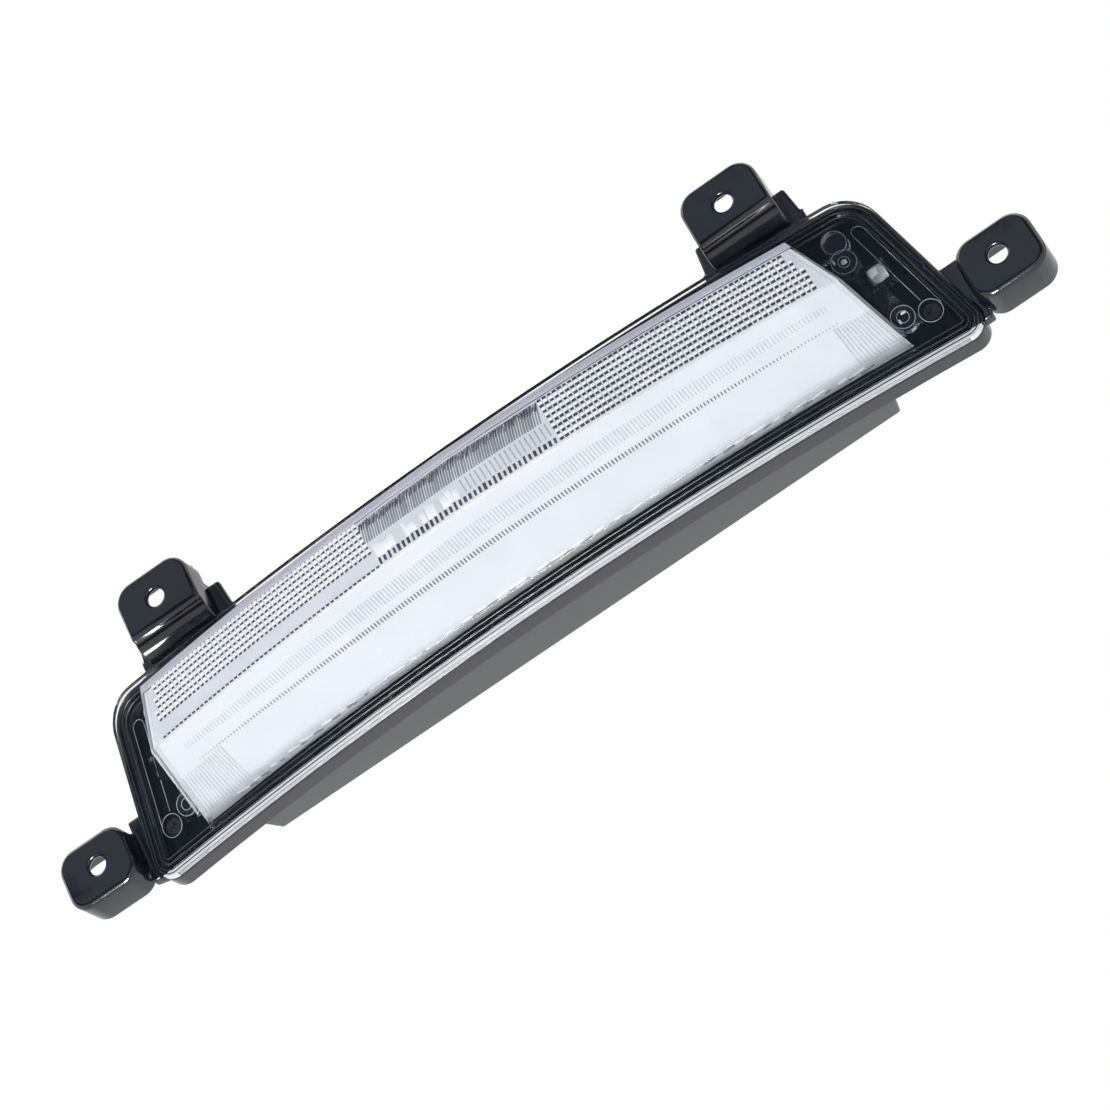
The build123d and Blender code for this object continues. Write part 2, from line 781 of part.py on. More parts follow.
def bezel_screws():
    """Screws through the bezel's end bosses into the blind bosses of the rim."""
    z = lower_boss[1]
    x = end_place(lower_boss[0], z)
    seat = flange_y(x - screw_head_r, z + screw_head_r, bezel_front - bezel_boss_rise) - screw_seat_gap
    one = screw(x, z, seat, seat + 1, bezel_screw_length, end_screw_head)
    return [one, mirror(one, Plane.YZ)]


def harness_socket():
    """Plug shroud on the back, with a flange, two screw ears and a spigot through the wall."""
    y0 = body_back_y + seal_thickness
    outer = block(socket_x - socket_half_w, socket_x + socket_half_w, y0, y0 + socket_depth,
                  socket_z - socket_half_h, socket_z + socket_half_h)
    outer = fillet(outer.edges().filter_by(Axis.Y), socket_corner)
    cavity = block(socket_x - socket_half_w + socket_wall, socket_x + socket_half_w - socket_wall,
                   y0 + socket_floor, y0 + socket_depth + past,
                   socket_z - socket_half_h + socket_wall, socket_z + socket_half_h - socket_wall)
    flange = block(socket_x - socket_half_w - socket_flange, socket_x + socket_half_w + socket_flange,
                   y0, y0 + socket_flange_thickness, socket_z - socket_half_h - socket_flange_side,
                   socket_z + socket_half_h + socket_flange_side)
    body = outer + flange
    for dx in (-socket_screw_x, socket_screw_x):
        body += rod(socket_x + dx, socket_z, socket_ear_r, y0, y0 + socket_flange_thickness)
    body = body - cavity
    for dx in (-socket_screw_x, socket_screw_x):
        body -= rod(socket_x + dx, socket_z, screw_r + screw_clear, y0 - past, y0 + socket_depth)
    spigot = block(socket_x - socket_entry_half_w + socket_fit, socket_x + socket_entry_half_w - socket_fit,
                   inner_back_y, y0 + root, socket_z - socket_entry_half_h + socket_fit,
                   socket_z + socket_entry_half_h - socket_fit)
    body += spigot
    latch = block(socket_x - latch_half_w, socket_x + latch_half_w, y0 + socket_depth - latch_run,
                  y0 + socket_depth - latch_back, socket_z + socket_half_h - root,
                  socket_z + socket_half_h + latch_height)
    body += latch
    slot = pin_half + pin_clear
    for x in pin_places():
        body -= block(x - slot, x + slot, inner_back_y - past, y0 + socket_floor + past,
                      socket_z - slot, socket_z + slot)
    return body


def socket_terminals():
    """Square pins through the socket's floor into the header."""
    y1 = body_back_y + seal_thickness + socket_floor + pin_length
    return [block(x - pin_half, x + pin_half, board_back_y + pin_start, y1, socket_z - pin_half,
                  socket_z + pin_half) for x in pin_places()]


def socket_seal():
    """Flat ring between the socket's flange and the wall."""
    half_w = socket_half_w + socket_flange - seal_inset
    half_h = socket_half_h + socket_flange_side - seal_inset / 2
    ring = block(socket_x - half_w, socket_x + half_w, body_back_y, body_back_y + seal_thickness,
                 socket_z - half_h, socket_z + half_h)
    return ring - block(socket_x - socket_entry_half_w, socket_x + socket_entry_half_w,
                        body_back_y - past, body_back_y + seal_thickness + past,
                        socket_z - socket_entry_half_h, socket_z + socket_entry_half_h)


def socket_screws():
    seat = body_back_y + seal_thickness + socket_flange_thickness
    return [screw(socket_x + dx, socket_z, seat, seat - 1, socket_screw_length)
            for dx in (-socket_screw_x, socket_screw_x)]


def vent_cap():
    """Mushroom cap on the vent spigot, open to the air through four notches under its skirt."""
    y0 = body_back_y + vent_air_gap
    cap = rod(vent_x, vent_z, vent_cap_r, y0, y0 + vent_cap_depth)
    cap = chamfer(cap.edges().group_by(Axis.Y)[-1], vent_cap_wall)
    cap -= rod(vent_x, vent_z, vent_cap_r - vent_cap_wall, y0 - past, y0 + vent_cap_depth - vent_cap_wall)
    grip_r = vent_spigot_r + vent_fit
    collar_end_y = y0 + vent_cap_depth - vent_cap_wall
    cap += (rod(vent_x, vent_z, grip_r + vent_collar, y0 + vent_notch, collar_end_y + root)
            - rod(vent_x, vent_z, grip_r, y0, collar_end_y))
    notch = block(-vent_cap_r - past, vent_cap_r + past, y0 - past, y0 + vent_notch, -vent_notch,
                  vent_notch)
    for turn in (0, 90):
        cap -= Pos(vent_x, 0, vent_z) * Rot(0, turn, 0) * notch
    return cap


def vent_membrane():
    """Thin breathing disc on the end of the spigot."""
    y0 = body_back_y + vent_spigot
    return rod(vent_x, vent_z, vent_spigot_r - vent_membrane_edge, y0, y0 + vent_membrane_t)


def write(name, shape):
    shapes = shape if isinstance(shape, list) else [shape]
    solids = [solid for each in shapes for solid in each.solids()]
    kept = solids[0] if len(solids) == 1 else Compound(children=solids)
    export_step(kept, f"parts/{name}.step")


write("outer_lens", outer_lens())
write("housing", housing())
write("lens_bond_bead", lens_bond_bead())
write("bezel", bezel())
write("inner_lens", inner_lens())
write("reflector", reflector())
write("led_board", led_board())
write("led_packages", led_packages())
write("driver_chips", driver_chips())
write("board_resistors", board_resistors())
write("board_capacitors", board_capacitors())
write("board_header", board_header())
write("thermal_pad", thermal_pad())
write("heat_sink", heat_sink())
write("board_screws", board_screws())
write("bezel_screws", bezel_screws())
write("harness_socket", harness_socket())
write("socket_terminals", socket_terminals())
write("socket_seal", socket_seal())
write("socket_screws", socket_screws())
write("vent_cap", vent_cap())
write("vent_membrane", vent_membrane())
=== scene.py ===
from math import atan, cos, hypot, pi, radians, sin, sqrt, tan

import bmesh
import bpy
import numpy as np
from mathutils import Matrix, Vector


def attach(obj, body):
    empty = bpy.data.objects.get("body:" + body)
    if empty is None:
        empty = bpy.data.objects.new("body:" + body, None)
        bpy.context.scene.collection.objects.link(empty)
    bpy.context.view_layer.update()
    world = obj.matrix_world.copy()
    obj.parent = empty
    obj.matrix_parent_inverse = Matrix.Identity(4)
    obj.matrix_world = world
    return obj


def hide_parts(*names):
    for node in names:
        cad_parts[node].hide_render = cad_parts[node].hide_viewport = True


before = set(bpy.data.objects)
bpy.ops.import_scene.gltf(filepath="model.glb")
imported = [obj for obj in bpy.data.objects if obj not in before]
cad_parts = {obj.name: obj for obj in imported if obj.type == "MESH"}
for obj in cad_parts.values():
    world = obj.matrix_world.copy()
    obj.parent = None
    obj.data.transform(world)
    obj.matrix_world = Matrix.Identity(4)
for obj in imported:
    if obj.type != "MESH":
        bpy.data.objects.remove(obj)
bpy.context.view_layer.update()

MM = 0.001

# Nose of the lens and the optic under it, in metres
NOSE_BOW_R = 720 * MM
NOSE_KEEL = 1.6 * MM
KEEL_REACH = 107 * MM
CREASE_Y = -39.7 * MM
CREASE_Z = 8.0 * MM
NOSE_TOP_Z = 26.5 * MM
BAND_LEAN = 0.33
UNDER_LEAN = 2.43
TOP_LEAN = -3.5
NOSE_HALF = 139.8 * MM
SIDE_TAPER = 0.455
OPTIC_INSET = 2.2 * MM
OPTIC_END_INSET = 0.5 * MM
OPTIC_FOOT_Z = -5.0 * MM
OPTIC_HEAD_Z = 34.4 * MM
OPTIC_SEAT = 6.6 * MM
END_FRONT = 3.0 * MM

# Flange of the lens
FLANGE_Y = -7.3 * MM
FLANGE_BOW_R = 950 * MM
FLANGE_LEAN = 0.20
FLANGE_LOW = -15.0 * MM
FLANGE_HIGH = 47.5 * MM
FLANGE_HALF_LOW = 167.0 * MM
FLANGE_HALF_HIGH = 152.7 * MM
LOW_CORNER = 7.0 * MM
HIGH_CORNER = 14.0 * MM
LENS_PLATE = 2.6 * MM
FLANGE_TAPER = (FLANGE_HALF_LOW - FLANGE_HALF_HIGH) / (FLANGE_HIGH - FLANGE_LOW)

# Parts of the lens in painted light: the top edge of the nose in lavender and the bottom edge of the
# flange as a highlight
TOP_STRIP_Z = 24.2 * MM
LOW_STRIP_Z = -12.6 * MM

# Rounding of the sharp edges
LENS_EDGE_R = 0.2 * MM
HOUSING_EDGE_R = 0.9 * MM

# Raised lines round the flange: how far in from its edge each lies, in mm, and their radius
BEAD_INSETS = (1.0, 2.1, 4.0, 5.7)
BEAD_R = 0.2 * MM

# Front band of the optic: pitch of its columns, heights of its rows in mm, and how far they reach
COLUMN_PITCH = 1.9 * MM
LEFT_ROWS = (15.0, 16.8, 18.6, 20.4, 22.2, 23.9)
RIGHT_ROWS = (10.7, 12.7, 14.7, 16.7, 18.6, 20.5, 22.4, 24.2)
SIDE_MARGIN = 1.0 * MM
RIGHT_REACH = 129 * MM

# Middle of the band: slanted flutes and marks above, upright lines and facets below, whose X is in mm
MIDDLE_HALF = 35.3 * MM
MIDDLE_PITCH = 0.97 * MM
MIDDLE_FLUTE_Z = 21.2 * MM
MIDDLE_MARK_Z = 23.0 * MM
MIDDLE_LINE_Z = 15.0 * MM
MIDDLE_FACET_Z = 14.4 * MM
MIDDLE_FACETS = (-33.0, -30.2, -27.8, -22.0, -19.6, -15.0, -12.6, -10.9, -6.2, -4.1, -2.0)

# Dashes and bars along the crease: how far they stop from the end, and how far they lie above it
CREASE_MARGIN = 5 * MM
CREASE_DASH_RISE = 0.35 * MM
CREASE_BAR_RISE = 1.5 * MM

# Sloping underside of the optic: fine flutes and ticks, end flutes, and the broken line at its foot
FINE_PITCH = 1.27 * MM
FINE_REACH = 127 * MM
FINE_FADE = 130 * MM
FINE_RISE = 0.2 * MM
FINE_RISE_REACH = 60 * MM
FLUTE_BAND_Z = 6.0 * MM
TICK_LINE_Z = 3.2 * MM
RIGHT_FLUTES = 12
LEFT_FLUTES = 17
END_FLUTE_MARGIN = 0.6 * MM
FOOT_PITCH = 7.5 * MM
FOOT_LEFT = -128 * MM
FOOT_RIGHT = 130 * MM
FOOT_GLINT_Z = -4.3 * MM
FOOT_SHADOW_Z = -4.55 * MM
FOOT_SHADOW_SHIFT = 3.4 * MM

# Ribs on the top edge of the nose
RIB_PITCH = 0.95 * MM
RIB_TOP_Z = 25.9 * MM
RIB_MARGIN = 1.5 * MM

# Width, height and depth of one copy of each relief
PILLOW_SIZE = (1.7 * MM, 1.25 * MM, 0.28 * MM)
RIGHT_DASH_SIZE = (1.4 * MM, 0.95 * MM, 0.12 * MM)
LEFT_DASH_SIZE = (1.25 * MM, 0.8 * MM, 0.12 * MM)
CREASE_DASH_SIZE = (1.3 * MM, 0.7 * MM, 0.12 * MM)
CREASE_BAR_SIZE = (1.05 * MM, 2.4 * MM, 0.16 * MM)
MIDDLE_FLUTE_SIZE = (0.7 * MM, 7.2 * MM, 0.2 * MM)
MIDDLE_MARK_SIZE = (0.55 * MM, 3.4 * MM, 0.2 * MM)
MIDDLE_LINE_SIZE = (0.5 * MM, 4.6 * MM, 0.14 * MM)
MIDDLE_FACET_SIZE = (3.4 * MM, 4.4 * MM, 0.1 * MM)
FINE_FLUTE_SIZE = (0.5 * MM, 5.6 * MM, 0.12 * MM)
TICK_SIZE = (0.5 * MM, 2.2 * MM, 0.12 * MM)
END_FLUTE_SIZE = (0.5 * MM, 19.0 * MM, 0.14 * MM)
FOOT_GLINT_SIZE = (5.5 * MM, 0.9 * MM, 0.12 * MM)
FOOT_SHADOW_SIZE = (5.0 * MM, 0.7 * MM, 0.1 * MM)
RIB_SIZE = (0.5 * MM, RIB_TOP_Z - TOP_STRIP_Z, 0.09 * MM)

# Details of the clear ends: share of the way from the nose's end to the flange's edge, and height
LOWER_BOSS = (0.533, 0.5 * MM)
LOWER_POST = (0.223, 3.2 * MM)
MIDDLE_POST = (0.363, 29.0 * MM)
UPPER_RING = (0.466, 36.3 * MM)
PRISM = (0.48, 20.0 * MM)

# Radii of the rims of the round ones, and the radius of the painted pale line that draws them
END_RIMS = ((LOWER_POST, (3.9 * MM, 2.0 * MM)), (MIDDLE_POST, (4.1 * MM, 1.9 * MM)),
            (UPPER_RING, (4.0 * MM,)), (LOWER_BOSS, (3.9 * MM,)))
RIM_LINE_R = 0.14 * MM

# Painted glints in them: which detail, offsets across and up, width and height, all in mm, and their
# depth
END_GLINTS = (
    (PRISM, -0.6, 0.7, 4.2, 3.8), (PRISM, 2.6, -0.5, 1.1, 4.4),
    (MIDDLE_POST, 0.0, 0.0, 2.1, 1.8), (MIDDLE_POST, -2.9, 1.4, 0.8, 1.6),
    (LOWER_POST, 0.8, 1.2, 2.0, 0.8), (LOWER_POST, -1.6, -0.9, 0.9, 1.8))
GLINT_DEPTH = 0.6
PRISM_SIZE = (6.4, 6.2, 0.8)

# Slot in the bezel outside the ring and the prism: its middle's distance from the flange's edge, half its
# width, where its round top starts, and the heights of its two straight sides, in mm
SLOT_MIDDLE = 8.8 * MM
SLOT_R = 2.2 * MM
SLOT_TOP_Z = 36 * MM
SLOT_INNER_SIDE = (6, 12, 18, 24, 30)
SLOT_OUTER_SIDE = (30, 24, 18, 12, 6, 2)

# Camera: from the right and from below, with the picture turned
VIEW_AZIMUTH = radians(12.0)
VIEW_ELEVATION = radians(-30.0)
VIEW_ROLL = radians(6.156)
PICTURE_TURN = radians(34.3)
VIEW_PIVOT = Vector((9.49, -5.5, -3.8)) * MM
VIEW_DISTANCE = 1.1
PIXELS_PER_METRE = 3100
PICTURE_SIDE = 1110
SENSOR = 36.0

# What the lamp mirrors in front of it, and where that gives way to white
FRONT_DIM = (0.09, 0.12, 0.17)
FRONT_END = 0.30
BACK_START = 0.55

# Directions from which the scene's lights shine
BELOW_FRONT = (-0.2, -0.5, -0.85)
TOP_LEFT_FRONT = (-0.5, -0.5, 1.0)
HIGH_FRONT = (-0.15, -0.85, 0.5)


def bow(x, radius):
    """How far a bowed surface falls back at x."""
    return radius - sqrt(radius * radius - x * x)


def nose_bow(x):
    """Bow of the nose, whose middle is pulled forward a little."""
    share = abs(x) / KEEL_REACH
    return bow(x, NOSE_BOW_R) - NOSE_KEEL * (1 - share) * (1 - share / 2)


def flange_y(x, z, depth=0.0):
    """Sloping, bowed front of the flange, or a surface at a depth behind it."""
    return FLANGE_Y + depth * hypot(1, FLANGE_LEAN) + bow(x, FLANGE_BOW_R) - FLANGE_LEAN * z


def flange_half(z):
    """Half width of the flange at height z."""
    return FLANGE_HALF_LOW - FLANGE_TAPER * (z - FLANGE_LOW)


def nose_half(z, inset=0.0):
    """Half width of the nose at height z."""
    return NOSE_HALF - SIDE_TAPER * z - inset * hypot(1, SIDE_TAPER)


def band_y(x, z, inset=0.0):
    """Front band of the nose."""
    return CREASE_Y + inset * hypot(1, BAND_LEAN) + nose_bow(x) - BAND_LEAN * (z - CREASE_Z)


def under_y(x, z, inset=0.0):
    """Sloping underside of the nose."""
    return CREASE_Y + inset * hypot(1, UNDER_LEAN) + nose_bow(x) - UNDER_LEAN * (z - CREASE_Z)


def top_y(x, z, inset=0.0):
    """Top wall of the nose."""
    edge = CREASE_Y - BAND_LEAN * (NOSE_TOP_Z - CREASE_Z)
    return edge + inset * hypot(1, TOP_LEAN) + nose_bow(x) - TOP_LEAN * (z - NOSE_TOP_Z)


def inset_crease_z(inset):
    """Height at which the inset band and the inset underside meet."""
    return CREASE_Z + inset * (hypot(1, UNDER_LEAN) - hypot(1, BAND_LEAN)) / (UNDER_LEAN - BAND_LEAN)


def inset_top_z(inset):
    """Height at which the inset band and the inset top wall meet."""
    return NOSE_TOP_Z - inset * (hypot(1, TOP_LEAN) - hypot(1, BAND_LEAN)) / (BAND_LEAN - TOP_LEAN)


OPTIC_CREASE_Z = inset_crease_z(OPTIC_INSET)
OPTIC_TOP_Z = inset_top_z(OPTIC_INSET)


def mesh_object(name, vertices, faces, material):
    """New object from points and faces, in one finish."""
    mesh = bpy.data.meshes.new(name)
    mesh.from_pydata([tuple(v) for v in vertices], [], faces)
    mesh.materials.append(material)
    obj = bpy.data.objects.new(name, mesh)
    bpy.context.collection.objects.link(obj)
    return obj


class Nodes:
    """Short way to write a material's node tree."""

    def __init__(self, name):
        self.material = bpy.data.materials.new(name)
        self.material.use_nodes = True
        self.tree = self.material.node_tree
        self.shader = self.tree.nodes["Principled BSDF"]
        self.coords = self.add("ShaderNodeTexCoord").outputs["Object"]

    def add(self, kind, **settings):
        node = self.tree.nodes.new(kind)
        for key, value in settings.items():
            setattr(node, key, value)
        return node

    def link(self, source, target):
        self.tree.links.new(source, target)

    def noise(self, scale, detail=3.0, roughness=0.5, stretch=None):
        node = self.add("ShaderNodeTexNoise")
        node.inputs["Scale"].default_value = scale
        node.inputs["Detail"].default_value = detail
        node.inputs["Roughness"].default_value = roughness
        source = self.coords
        if stretch:
            mapping = self.add("ShaderNodeMapping")
            mapping.inputs["Scale"].default_value = stretch
            self.link(self.coords, mapping.inputs["Vector"])
            source = mapping.outputs["Vector"]
        self.link(source, node.inputs["Vector"])
        return node.outputs["Fac"]

    def remap(self, value, low, high, in_low=0.0, in_high=1.0):
        node = self.add("ShaderNodeMapRange")
        node.inputs["From Min"].default_value = in_low
        node.inputs["From Max"].default_value = in_high
        node.inputs["To Min"].default_value = low
        node.inputs["To Max"].default_value = high
        self.link(value, node.inputs["Value"])
        return node.outputs["Result"]

    def blend_colours(self, value, dark, light):
        ramp = self.add("ShaderNodeValToRGB")
        ramp.color_ramp.elements[0].color = (*dark, 1)
        ramp.color_ramp.elements[1].color = (*light, 1)
        self.link(value, ramp.inputs["Fac"])
        return ramp.outputs["Color"]

    def bump(self, value, strength, distance):
        node = self.add("ShaderNodeBump")
        node.inputs["Strength"].default_value = strength
        node.inputs["Distance"].default_value = distance
        self.link(value, node.inputs["Height"])
        self.link(node.outputs["Normal"], self.shader.inputs["Normal"])

    def set(self, **values):
        for key, value in values.items():
            self.shader.inputs[key.replace("_", " ")].default_value = value


def moulded_plastic(name, dark, light, rough_low, rough_high, grain=0.06, ior=1.52):
    """Injection moulded plastic: slight mottling, uneven gloss and a fine grain."""
    n = Nodes(name)
    mottle = n.noise(60, 4)
    n.link(n.blend_colours(mottle, dark, light), n.shader.inputs["Base Color"])
    n.link(n.remap(n.noise(220, 5), rough_low, rough_high, 0.3, 0.7), n.shader.inputs["Roughness"])
    n.bump(n.noise(2600, 2), grain, 0.0001)
    n.set(IOR=ior)
    return n.material


def clear_plastic(name, tint, rough=0.015, ior=1.49):
    """Polished clear moulding with faint flow ripple."""
    n = Nodes(name)
    n.set(Base_Color=(*tint, 1), Roughness=rough, IOR=ior, Transmission_Weight=1.0)
    n.bump(n.noise(90, 2), 0.005, 0.0004)
    return n.material


def metal(name, dark, light, rough_low, rough_high, brushed=None):
    """Bare or plated metal, its marks drawn out where it is brushed."""
    n = Nodes(name)
    n.link(n.blend_colours(n.noise(120, 3, stretch=brushed), dark, light), n.shader.inputs["Base Color"])
    n.link(n.remap(n.noise(300, 4, stretch=brushed), rough_low, rough_high, 0.3, 0.7),
           n.shader.inputs["Roughness"])
    n.set(Metallic=1.0)
    n.bump(n.noise(900, 2, stretch=brushed), 0.08, 0.0001)
    return n.material


def soft_rubber(name, dark, light):
    """Matt rubber, sealant or film with a fine grain."""
    n = Nodes(name)
    n.link(n.blend_colours(n.noise(150, 4), dark, light), n.shader.inputs["Base Color"])
    n.set(Roughness=0.62)
    n.bump(n.noise(1800, 3), 0.15, 0.0001)
    return n.material


HOUSING_BLACK = moulded_plastic("housing_black", (0.006, 0.008, 0.0135), (0.010, 0.013, 0.020),
                                0.10, 0.17, ior=1.58)
BEZEL_BLACK = moulded_plastic("bezel_black", (0.002, 0.0025, 0.004), (0.005, 0.006, 0.008),
                              0.30, 0.42, 0.02, ior=1.3)
CLEAR_LENS = clear_plastic("clear_lens", (0.985, 0.99, 1.0), ior=1.42)
CLEAR_OPTIC = clear_plastic("clear_optic", (0.93, 0.95, 0.98), 0.05)
OPTIC_BRIGHT = moulded_plastic("optic_bright", (0.65, 0.685, 0.725), (0.745, 0.78, 0.815),
                               0.16, 0.26, 0.03)
# Darker copy of the optic's finish for its underside: painted shade
OPTIC_UNDER_PAINTED_SHADE = moulded_plastic("optic_underside_painted_shade", (0.525, 0.56, 0.595), (0.60, 0.635, 0.67),
                              0.16, 0.26, 0.03)
# Painted highlight for pillow tops, bright facets and glints on the optic and its clear ends
OPTIC_PAINTED_GLINT = moulded_plastic("optic_painted_glint", (0.90, 0.91, 0.93), (0.96, 0.965, 0.98), 0.06, 0.12, 0.02)
# Painted dark shade in the grooves and dashes of the optic
GROOVE_PAINTED_DARK_SHADE = moulded_plastic("optic_groove_painted_dark_shade", (0.022, 0.026, 0.034), (0.055, 0.06, 0.075),
                              0.3, 0.45)
# Painted grey shade in the slanted flutes and at the foot of the optic
GROOVE_PAINTED_GREY_SHADE = moulded_plastic("optic_groove_painted_grey_shade", (0.17, 0.185, 0.21), (0.30, 0.32, 0.35), 0.25, 0.4)
# Pale grey: painted shade in the flutes of the optic, and painted light on the rims and prism of its
# clear ends
PALE_PAINTED_SHADE_AND_LIGHT = moulded_plastic("optic_painted_pale_shade_and_light", (0.36, 0.385, 0.42), (0.48, 0.51, 0.54), 0.2, 0.35)
# Painted light on the top edge of the clear nose, in lavender
EDGE_PAINTED_LAVENDER_LIGHT = moulded_plastic("lens_edge_painted_lavender_light", (0.52, 0.52, 0.585), (0.62, 0.62, 0.69),
                                0.2, 0.3, 0.03)
# Painted highlight on the bottom edge of the clear flange
EDGE_PAINTED_HIGHLIGHT = moulded_plastic("lens_edge_painted_highlight", (0.80, 0.82, 0.85), (0.92, 0.93, 0.95),
                             0.1, 0.18, 0.02)
BEAD_GLOSS = moulded_plastic("bezel_gloss_line", (0.03, 0.033, 0.04), (0.05, 0.055, 0.065),
                             0.08, 0.16, 0.02)
SEALANT = soft_rubber("sealant_black", (0.012, 0.012, 0.014), (0.02, 0.02, 0.023))
BRIGHT_TRAY = metal("metallised_reflector", (0.80, 0.82, 0.85), (0.90, 0.91, 0.93), 0.06, 0.16)
BOARD_WHITE = moulded_plastic("board_solder_mask", (0.72, 0.72, 0.70), (0.80, 0.80, 0.78), 0.35, 0.5)
LED_YELLOW = moulded_plastic("led_phosphor", (0.80, 0.70, 0.20), (0.86, 0.78, 0.30), 0.3, 0.4)
CHIP_BLACK = moulded_plastic("chip_package", (0.012, 0.012, 0.013), (0.02, 0.02, 0.022), 0.45, 0.6)
CAN_METAL = metal("capacitor_can", (0.62, 0.63, 0.66), (0.72, 0.73, 0.76), 0.22, 0.34)
HEADER_NYLON = moulded_plastic("header_nylon", (0.62, 0.60, 0.53), (0.70, 0.68, 0.60), 0.4, 0.5)
PAD_GREY = soft_rubber("thermal_pad_grey", (0.16, 0.18, 0.20), (0.21, 0.23, 0.25))
SINK_METAL = metal("heat_sink_aluminium", (0.56, 0.57, 0.59), (0.66, 0.67, 0.69),
                   0.3, 0.42, (1, 1, 0.05))
SCREW_ZINC = metal("screw_zinc", (0.50, 0.51, 0.53), (0.62, 0.62, 0.62), 0.24, 0.36)
SOCKET_BLACK = moulded_plastic("socket_nylon", (0.008, 0.008, 0.009), (0.014, 0.014, 0.016),
                               0.42, 0.55, 0.12)
PIN_TIN = metal("terminal_tin", (0.66, 0.60, 0.46), (0.74, 0.68, 0.54), 0.2, 0.3)
SEAL_RED = soft_rubber("seal_silicone", (0.20, 0.03, 0.02), (0.27, 0.05, 0.03))
VENT_RUBBER = soft_rubber("vent_rubber", (0.008, 0.008, 0.009), (0.015, 0.015, 0.016))
MEMBRANE = soft_rubber("vent_membrane_film", (0.70, 0.70, 0.68), (0.78, 0.78, 0.76))

FINISHES = {
    "housing": HOUSING_BLACK, "bezel": BEZEL_BLACK, "outer_lens": CLEAR_LENS, "inner_lens": CLEAR_LENS,
    "lens_bond_bead": SEALANT, "reflector": BRIGHT_TRAY, "led_board": BOARD_WHITE,
    "led_packages": LED_YELLOW, "driver_chips": CHIP_BLACK, "board_resistors": CHIP_BLACK,
    "board_capacitors": CAN_METAL, "board_header": HEADER_NYLON, "thermal_pad": PAD_GREY,
    "heat_sink": SINK_METAL, "board_screws": SCREW_ZINC, "bezel_screws": SOCKET_BLACK,
    "socket_screws": SCREW_ZINC, "harness_socket": SOCKET_BLACK, "socket_terminals": PIN_TIN,
    "socket_seal": SEAL_RED, "vent_cap": VENT_RUBBER, "vent_membrane": MEMBRANE}

for node, finish in FINISHES.items():
    for material_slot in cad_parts[node].material_slots:
        material_slot.material = finish


def node_tree(name, inputs):
    """Empty Geometry Nodes tree with named inputs, its two ends, and the inputs' identifiers."""
    tree = bpy.data.node_groups.new(name, "GeometryNodeTree")
    tree.interface.new_socket("Geometry", in_out="INPUT", socket_type="NodeSocketGeometry")
    keys = {}
    for label, kind in inputs.items():
        socket = tree.interface.new_socket(label, in_out="INPUT", socket_type="NodeSocket" + kind)
        keys[label] = socket.identifier
    tree.interface.new_socket("Geometry", in_out="OUTPUT", socket_type="NodeSocketGeometry")
    return tree, tree.nodes.new("NodeGroupInput"), tree.nodes.new("NodeGroupOutput"), keys


def finish_tree(tree, start, end, geometry):
    """Last nodes of a tree: plain geometry, smooth, in its finish."""
    real = tree.nodes.new("GeometryNodeRealizeInstances")
    smooth = tree.nodes.new("GeometryNodeSetShadeSmooth")
    finish = tree.nodes.new("GeometryNodeSetMaterial")
    tree.links.new(geometry, smooth.inputs["Geometry"])
    tree.links.new(smooth.outputs["Geometry"], real.inputs["Geometry"])
    tree.links.new(real.outputs["Geometry"], finish.inputs["Geometry"])
    tree.links.new(start.outputs["Finish"], finish.inputs["Material"])
    tree.links.new(finish.outputs["Geometry"], end.inputs["Geometry"])


def named_attribute(tree, name):
    """Output that reads a vector kept on the guide's points."""
    node = tree.nodes.new("GeometryNodeInputNamedAttribute")
    node.data_type = "FLOAT_VECTOR"
    node.inputs["Name"].default_value = name
    return node.outputs["Attribute"]


def relief_tree():
    """Stands a small shape on every guide point: its depth along facing, its height along upright."""
    tree, start, end, keys = node_tree("relief_on_points", {
        "Shape": "Object", "Width": "Float", "Height": "Float", "Depth": "Float", "Finish": "Material"})
    link = tree.links.new
    turn_out = tree.nodes.new("FunctionNodeAlignRotationToVector")
    turn_out.axis = "Z"
    link(named_attribute(tree, "facing"), turn_out.inputs["Vector"])
    turn_up = tree.nodes.new("FunctionNodeAlignRotationToVector")
    turn_up.axis = "Y"
    turn_up.pivot_axis = "Z"
    link(turn_out.outputs["Rotation"], turn_up.inputs["Rotation"])
    link(named_attribute(tree, "upright"), turn_up.inputs["Vector"])
    size = tree.nodes.new("ShaderNodeCombineXYZ")
    for axis, label in zip("XYZ", ("Width", "Height", "Depth")):
        link(start.outputs[label], size.inputs[axis])
    scale = tree.nodes.new("ShaderNodeVectorMath")
    scale.operation = "MULTIPLY"
    link(size.outputs["Vector"], scale.inputs[0])
    link(named_attribute(tree, "size"), scale.inputs[1])
    shape = tree.nodes.new("GeometryNodeObjectInfo")
    link(start.outputs["Shape"], shape.inputs["Object"])
    stand = tree.nodes.new("GeometryNodeInstanceOnPoints")
    link(start.outputs["Geometry"], stand.inputs["Points"])
    link(shape.outputs["Geometry"], stand.inputs["Instance"])
    link(turn_up.outputs["Rotation"], stand.inputs["Rotation"])
    link(scale.outputs["Vector"], stand.inputs["Scale"])
    finish_tree(tree, start, end, stand.outputs["Instances"])
    return tree, keys


